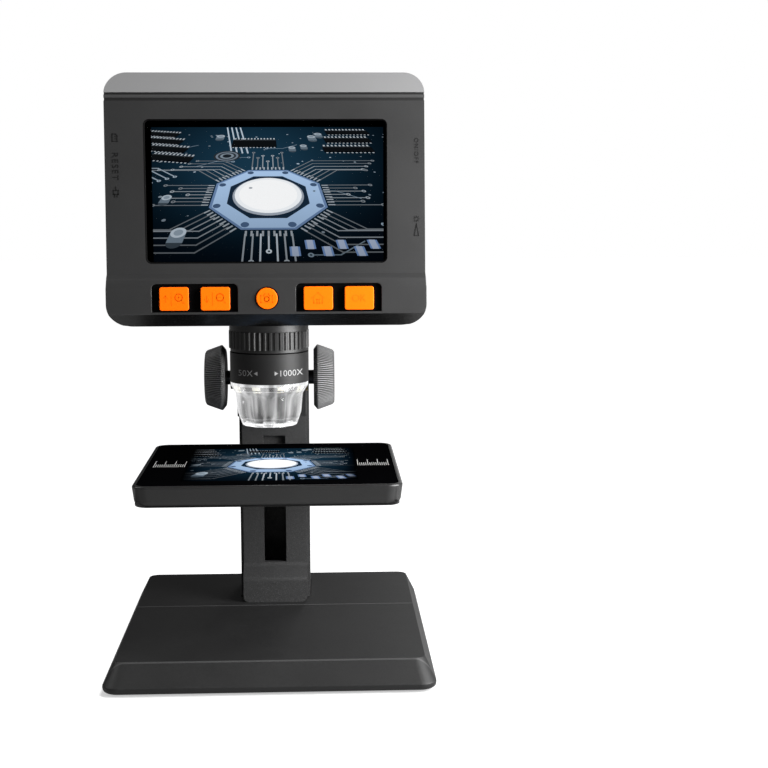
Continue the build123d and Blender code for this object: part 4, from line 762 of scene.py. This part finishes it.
def key_orange():
    """Orange plastic, darker red on the keys' flanks and edges where little light gets in."""
    finish = Finish("orange_plastic", Specular_IOR_Level=0.1)
    front = finish.axes()[1] < bezel_low.y - KEY_FLANK
    fine = finish.noise(0.3, 3.0)
    face = finish.blend(finish.spread(fine), tinted(ORANGE, 0.96), ORANGE)
    # painted shade: the keys' flanks are dark red, where little light gets in
    finish.vary("Base Color", finish.blend(front, (0.16, 0.008, 0.0, 1), face))
    finish.vary("Roughness", 0.5 + (fine - 0.5) * 0.15)
    finish.bump(fine, 0.004)
    return finish


def bar(mesh, start, end, width, high, face=Matrix()):
    """A straight raised stroke between two points of a face."""
    run = Vector(end) - Vector(start)
    matrix = Matrix.Translation((*(Vector(start) + run / 2), 0))
    matrix = matrix @ Matrix.Rotation(math.atan2(run.y, run.x), 4, "Z")
    matrix = matrix @ Matrix.Diagonal((run.length + width, width, high * 2, 1))
    bmesh.ops.create_cube(mesh, size=1.0, matrix=face @ matrix)


SIGN_HIGH = 0.05
# painted shade: the signs' strokes are a darker orange than the keys, for the shade in their relief
sign_painted_shade = moulded("sign_painted_shade", (0.9, 0.12, 0.0, 1), 0.5, 0.3, 0.004, 0.05, Specular_IOR_Level=0.1)


class Sign:
    """Raised strokes on a key's face; places are millimetres from the face's middle."""

    def __init__(self, node):
        low, high = corners(node)
        self.mesh = bmesh.new()
        self.matrix = Matrix.Translation(mm((low.x + high.x) / 2, low.y, (low.z + high.z) / 2))
        self.matrix = self.matrix @ Matrix.Rotation(math.pi / 2, 4, "X") @ Matrix.Scale(0.001, 4)

    def stroke(self, start, end, width=0.32):
        bar(self.mesh, start, end, width, SIGN_HIGH, self.matrix)

    def chain(self, *points):
        for start, end in zip(points, points[1:]):
            self.stroke(start, end)

    def ring(self, middle, radius):
        steps = [2 * math.pi * i / 20 for i in range(21)]
        self.chain(*((middle[0] + radius * math.cos(a), middle[1] + radius * math.sin(a)) for a in steps))

    def settle(self, node):
        settled(self.mesh, node + "_sign", node.replace("_key", "_button"), sign_painted_shade)


for node, rises in (("zoom_in_key", 1), ("zoom_out_key", -1)):
    sign = Sign(node)
    sign.chain((-3.4, -1.2 * rises), (-3.4, 1.2 * rises))
    sign.chain((-4.2, 0.3 * rises), (-3.4, 1.3 * rises), (-2.6, 0.3 * rises))
    sign.stroke((-1.0, -2.6), (-1.0, 2.6), 0.22)
    sign.ring((2.0, 0.6), 1.5)
    sign.stroke((3.1, -0.5), (4.3, -1.8), 0.45)
    sign.stroke((1.3, 0.6), (2.7, 0.6))
    if rises > 0:
        sign.stroke((2.0, -0.1), (2.0, 1.3))
    sign.settle(node)
sign = Sign("capture_key")
sign.chain((-2.4, -1.6), (2.4, -1.6), (2.4, 1.2), (1.2, 1.2), (0.8, 1.9), (-0.8, 1.9), (-1.2, 1.2),
           (-2.4, 1.2), (-2.4, -1.6))
sign.ring((0, -0.2), 1.0)
sign.settle("capture_key")
sign = Sign("home_key")
sign.chain((-2.6, 0.1), (0, 2.3), (2.6, 0.1))
sign.chain((-1.8, 0.4), (-1.8, -2.0), (1.8, -2.0), (1.8, 0.4))
sign.chain((-0.5, -2.0), (-0.5, -0.5), (0.5, -0.5), (0.5, -2.0))
sign.settle("home_key")


def lettering(text, high, thick, spacing=1.0):
    """Raised text in the XY plane, centred, of a given capital height in millimetres."""
    curve = bpy.data.curves.new(text, "FONT")
    curve.body = text
    curve.size = high / 0.7
    curve.extrude = thick / 2
    curve.space_character = spacing
    curve.resolution_u = 6
    holder = bpy.data.objects.new(text, curve)
    data = bpy.data.meshes.new_from_object(holder)
    mesh = bmesh.new()
    mesh.from_mesh(data)
    bmesh.ops.remove_doubles(mesh, verts=mesh.verts, dist=1e-4)
    xs = [vert.co.x for vert in mesh.verts]
    ys = [vert.co.y for vert in mesh.verts]
    middle = Vector(((min(xs) + max(xs)) / 2, (min(ys) + max(ys)) / 2, 0))
    bmesh.ops.translate(mesh, vec=-middle, verts=mesh.verts)
    bpy.data.objects.remove(holder)
    bpy.data.curves.remove(curve)
    bpy.data.meshes.remove(data)
    return mesh


okay = lettering("OK", 2.9, SIGN_HIGH * 2)
placed(okay, Sign("ok_key").matrix)
settled(okay, "ok_key_sign", "ok_button", sign_painted_shade)
dress(key_orange(), "zoom_in_key", "zoom_out_key", "capture_key", "home_key", "ok_key")


# ------------------------------------------------------------------ side controls and their marks
# A thumbwheel for the lamps' brightness and a slide switch on the right; a card slot, a reset hole
# and a small supply socket on the left. Raised marks on the face beside them say what they are.
dress(knob_plastic, "dimmer_wheel")
dress(metal("bright_plate", (0.7, 0.7, 0.72, 1), 0.25), "side_sockets")
mark_plastic = moulded("mark_plastic", grey(0.006), 0.3, 0.3, 0.005, 0.2)
MARK_HIGH = 0.12
LEFT_X, RIGHT_X = -61.0, 62.0   # middle of each column of marks


def mark(mesh, name, x, z):
    """Puts a flat mark, turned to read downwards, on the bezel's face."""
    placed(mesh, Matrix.Rotation(-math.pi / 2, 4, "Z"), Matrix.Rotation(math.pi / 2, 4, "X"),
           Matrix.Scale(0.001, 4), Matrix.Translation(mm(x, FACE_Y, z)))
    settled(mesh, name, "head", mark_plastic)


def strokes(*chains, width=0.35):
    """Flat bars along chains of points."""
    mesh = bmesh.new()
    for chain in chains:
        for start, end in zip(chain, chain[1:]):
            bar(mesh, start, end, width, MARK_HIGH)
    return mesh


mark(lettering("RESET", 2.5, MARK_HIGH * 2, 1.25), "reset_mark", LEFT_X, 214.9)
mark(lettering("ON/OFF", 1.7, MARK_HIGH * 2, 1.25), "power_mark", RIGHT_X, 221.1)
mark(strokes(((-1.5, -1), (1.5, -1), (1.5, 1), (-0.8, 1), (-1.5, 0.4), (-1.5, -1)),
             ((-0.5, 0.6), (-0.5, 0.1)), ((0.4, 0.6), (0.4, 0.1))), "card_mark", LEFT_X, 226.5)
mark(strokes(((-2.4, 0), (-0.9, 0)), ((-0.9, -1), (-0.9, 1), (0.7, 1), (0.7, -1), (-0.9, -1)),
             ((0.7, 0.5), (1.8, 0.5)), ((0.7, -0.5), (1.8, -0.5))), "supply_mark", LEFT_X, 204.3)
rays = [((-3.2 + 0.7 * math.cos(a), 0.7 * math.sin(a)), (-3.2 + 1.2 * math.cos(a), 1.2 * math.sin(a)))
        for a in (math.pi * i / 4 for i in range(8))]
mark(strokes(*rays, ((-1.2, 0), (3.6, 0.9), (3.6, -0.9), (-1.2, 0)), width=0.3),
     "brightness_mark", RIGHT_X, 190.0)


# ------------------------------------------------------------------ lens tube
# A black moulded collar, a ribbed focus ring that turns and a smooth band with the two end marks of
# the scale, all about one axis. The black lens barrel slides inside them.
tube_plastic = moulded("tube_plastic", grey(0.006), 0.42, 0.3, 0.002, 0.1, Specular_IOR_Level=0.35)
dress(tube_plastic, "tube_sleeve", "focus_grip", "lens_barrel")
dress(moulded("band_plastic", grey(0.008), 0.5, 0.3, 0.003, 0.1, Specular_IOR_Level=0.25), "scale_band")
band_low, band_high = corners("scale_band")
tube_y = (band_low.y + band_high.y) / 2
band_radius = (band_high.x - band_low.x) / 2
band_white = moulded("band_ink", grey(0.22), 0.6, 0.5, 0.004, 0.1)
BAND_TEXT_Z = 128.9
BAND_TEXT_HIGH = 2.5
INK = 0.03              # how thick the printed marks lie on the band


def wrapped(mesh, name):
    """Lays flat marks, drawn in X and Z, round the front of the band."""
    for vert in mesh.verts:
        reach = band_radius + INK + vert.co.z
        y = tube_y - math.sqrt(reach * reach - vert.co.x * vert.co.x)
        vert.co = mm(vert.co.x, y, BAND_TEXT_Z + vert.co.y)
    settled(mesh, name, "head", band_white)


def arrow(x, side):
    """A small solid triangle that points to one side."""
    mesh = bmesh.new()
    matrix = Matrix.Translation((x, 0, 0)) @ Matrix.Rotation(math.pi * (side < 0), 4, "Z")
    bmesh.ops.create_cone(mesh, cap_ends=True, segments=3, radius1=1.0, radius2=1.0, depth=INK,
                          matrix=matrix @ Matrix.Rotation(-math.pi / 2, 4, "Z"))
    return mesh


for text, x in (("50X", -9.6), ("1000X", 9.75)):
    words = lettering(text, BAND_TEXT_HIGH, INK, 1.05)
    bmesh.ops.translate(words, vec=(x, 0, 0), verts=words.verts)
    wrapped(words, "band_" + text)
wrapped(arrow(-5.0, -1), "band_left_arrow")
wrapped(arrow(3.2, 1), "band_right_arrow")


# ------------------------------------------------------------------ lamps and clear cap
# Eight white lamps on a ring-shaped board shine down through a clear acrylic cap. The cap is fluted
# inside and out, narrows downwards and is open in the middle for the lens.
dress(moulded("white_solder_mask", grey(0.55), 0.4, 2.0, 0.01, 0.05), "led_board")
lamp_finish = Finish("lamp_white", Roughness=0.3, Emission_Strength=0.1)
lamp_depth = lamp_finish.spread(lamp_finish.noise(1.0), 0.2, 0.8)
lamp_finish.vary("Base Color", lamp_finish.blend(lamp_depth, (0.9, 0.86, 0.6, 1), (0.95, 0.93, 0.85, 1)))
lamp_finish.vary("Emission Color", lamp_finish.blend(lamp_depth, (1, 0.95, 0.8, 1), (1, 1, 0.95, 1)))
dress(lamp_finish, "led_lamps")
FLUTES = 8
FLUTE_SAMPLES = 24


def flute_steps(shift):
    """The round hollow of one flute as shares of its width and of its depth."""
    shares = [i / FLUTE_SAMPLES for i in range(FLUTE_SAMPLES)]
    return [(share, max(0.0, math.cos(2 * math.pi * (share - shift))) ** 0.5) for share in shares]


def clear_acrylic(name, painted_glow=0.0):
    """Clear plastic with the faint flow marks of its moulding, and a painted glow, light at its edges and
    streaky inside.
    """
    finish = Finish(name, Transmission_Weight=1.0, IOR=1.49, Emission_Strength=painted_glow)
    # painted light: the glow is lightest at grazing edges, in place of the light that the lamps above put
    # in the cap
    edge = finish.node("ShaderNodeLayerWeight", None, {"Blend": 0.4}, "Facing")
    streaks = finish.spread(finish.noise(3.5, 1.0, (1, 1, 0.12)), 0.47, 0.6)
    inside = finish.blend(streaks, grey(0.005), grey(0.2))
    finish.vary("Emission Color", finish.blend(edge, inside, grey(0.55)))
    flow = finish.noise(6.0, 2.0, (1, 1, 0.3))
    finish.vary("Base Color", finish.blend(flow, (0.95, 0.96, 0.96, 1), (0.99, 0.99, 0.99, 1)))
    finish.vary("Roughness", flow * 0.01)
    finish.bump(flow, 0.15)
    return finish


cap_low, cap_high = corners("light_cap")
cap_top = cap_high.z - cap_low.z
cap = bmesh.new()
outer = ribbed(cap, ((cap_top, 16.6, 0), (cap_top - 1.6, 16.6, 0), (cap_top - 3.4, 15.5, 0.0),
                     (cap_top - 5.1, 14.5, 0.1), (cap_top - 6.2, 14.45, 0.45), (cap_top - 7.5, 14.3, 0.65),
                     (cap_top - 10, 14.1, 0.7), (cap_top - 13.2, 13.75, 0.7), (1.2, 12.2, 0.6),
                     (0.4, 11.85, 0.5), (0, 11.5, 0.4)), FLUTES, flute_steps(0.0))
inner = ribbed(cap, ((cap_top, 15.1, 0), (cap_top - 3.0, 15.1, 0), (cap_top - 5.0, 13.4, 0),
                     (cap_top - 5.6, 12.9, -0.1), (cap_top - 6.4, 12.4, -0.7), (cap_top - 8, 12.2, -0.9),
                     (cap_top - 13.2, 11.5, -0.8), (1.9, 10.6, -0.3), (1.5, 10.0, 0), (1.5, 9.4, 0),
                     (0, 9.4, 0)), FLUTES, flute_steps(0.5))
bmesh.ops.bridge_loops(cap, edges=outer[0] + inner[0])
bmesh.ops.bridge_loops(cap, edges=outer[-1] + inner[-1])
closed(cap)
placed(cap, Matrix.Translation(mm(0, tube_y, cap_low.z)))
# the cap gets the painted glow; the lens glass gets none
settled(cap, "fluted_cap", "head", clear_acrylic("clear_acrylic", 1.0), ("light_cap",), 40)
dress(clear_acrylic("lens_glass"), "lenses")


# ------------------------------------------------------------------ desk, light and camera
# A white desk with a narrow painted shadow about the base, in white surroundings. The main lamp is large
# and soft, in front at the right; weak ones stand near it, above the front, at the left and behind.
AROUND = 0.06           # how bright the surroundings are for the pieces themselves
PAINTED_SHADOW_HALF = (64.0, 75.0)      # half width and half depth of the rectangle under the painted shadow
PAINTED_SHADOW_ENDS = (5.0, 6.6)        # where beyond it the painted shadow begins to fade and where it ends


def surroundings():
    """White to the camera and through clear pieces; a weaker light for everything else."""
    world = bpy.data.worlds.new("surroundings")
    bpy.context.scene.world = world
    world.use_nodes = True
    tree = world.node_tree
    path = tree.nodes.new("ShaderNodeLightPath")
    white = tree.nodes.new("ShaderNodeMath")
    white.operation = "MAXIMUM"
    tree.links.new(path.outputs["Is Camera Ray"], white.inputs[0])
    tree.links.new(path.outputs["Is Transmission Ray"], white.inputs[1])
    level = tree.nodes.new("ShaderNodeMapRange")
    level.inputs["To Min"].default_value = AROUND
    level.inputs["To Max"].default_value = 1.0
    tree.links.new(white.outputs[0], level.inputs["Value"])
    tree.links.new(level.outputs[0], tree.nodes["Background"].inputs["Strength"])
    tree.nodes["Background"].inputs["Color"].default_value = (1, 1, 1, 1)


def soft_lamp(name, place, aim, size, watts):
    """A soft rectangular lamp that looks at a point."""
    light = bpy.data.lights.new(name, "AREA")
    light.shape = "RECTANGLE"
    light.size, light.size_y = size[0] / 1000, size[1] / 1000
    light.energy = watts
    lamp = bpy.data.objects.new(name, light)
    lamp.location = mm(*place)
    lamp.rotation_euler = (mm(*aim) - mm(*place)).to_track_quat("-Z", "Y").to_euler()
    lamp.visible_camera = False
    bpy.context.scene.collection.objects.link(lamp)


surroundings()
soft_lamp("front_right_lamp", (420, -200, 260), (0, 0, 140), (320, 420), 8.8)
soft_lamp("near_right_lamp", (200, -200, 190), (0, -20, 140), (140, 140), 0.45)
soft_lamp("front_strip", (0, -640, 560), (0, 0, 120), (600, 50), 0.4)
soft_lamp("left_strip", (-480, -40, 480), (0, 0, 0), (160, 400), 1.5)
soft_lamp("rear_right_lamp", (380, 900, 300), (60, 0, 20), (560, 420), 1.0)

desk_mesh = bmesh.new()
bmesh.ops.create_grid(desk_mesh, x_segments=2, y_segments=2, size=4.0)
desk = linked(desk_mesh, "desk")
desk_white = Finish("desk_white", Base_Color=(0.3, 0.3, 0.3, 1), Roughness=0.9, Specular_IOR_Level=0.0,
                    Emission_Color=(1, 1, 1, 1))
seen = desk_white.node("ShaderNodeLightPath", output="Is Camera Ray")
past = [desk_white.beyond(axis, half) for axis, half in zip(desk_white.axes(), PAINTED_SHADOW_HALF)]
beside = desk_white.node("ShaderNodeCombineXYZ", None, dict(zip("XY", past)))
far = desk_white.node("ShaderNodeVectorMath", {"operation": "LENGTH"}, {0: beside}, "Value")
# painted shadow: close about the base's outline the desk glows at half strength, fading to full beyond
glow = 0.5 + desk_white.spread(far, *PAINTED_SHADOW_ENDS) * 0.5
mirrored = desk_white.node("ShaderNodeLightPath", output="Is Glossy Ray")
desk_white.vary("Emission Strength", seen * glow + mirrored * 0.3)
desk.data.materials.append(desk_white.material)

camera = bpy.data.cameras.new("camera")
camera.sensor_width = 36.0
camera.lens = 72.479
viewer = bpy.data.objects.new("camera", camera)
viewer.location = mm(20.469, -693.295, 204.555)
viewer.rotation_euler = (math.radians(90 - 7.105), math.radians(0.172), math.radians(-2.514))
bpy.context.scene.collection.objects.link(viewer)
bpy.context.scene.camera = viewer
bpy.context.scene.view_settings.view_transform = "Standard"
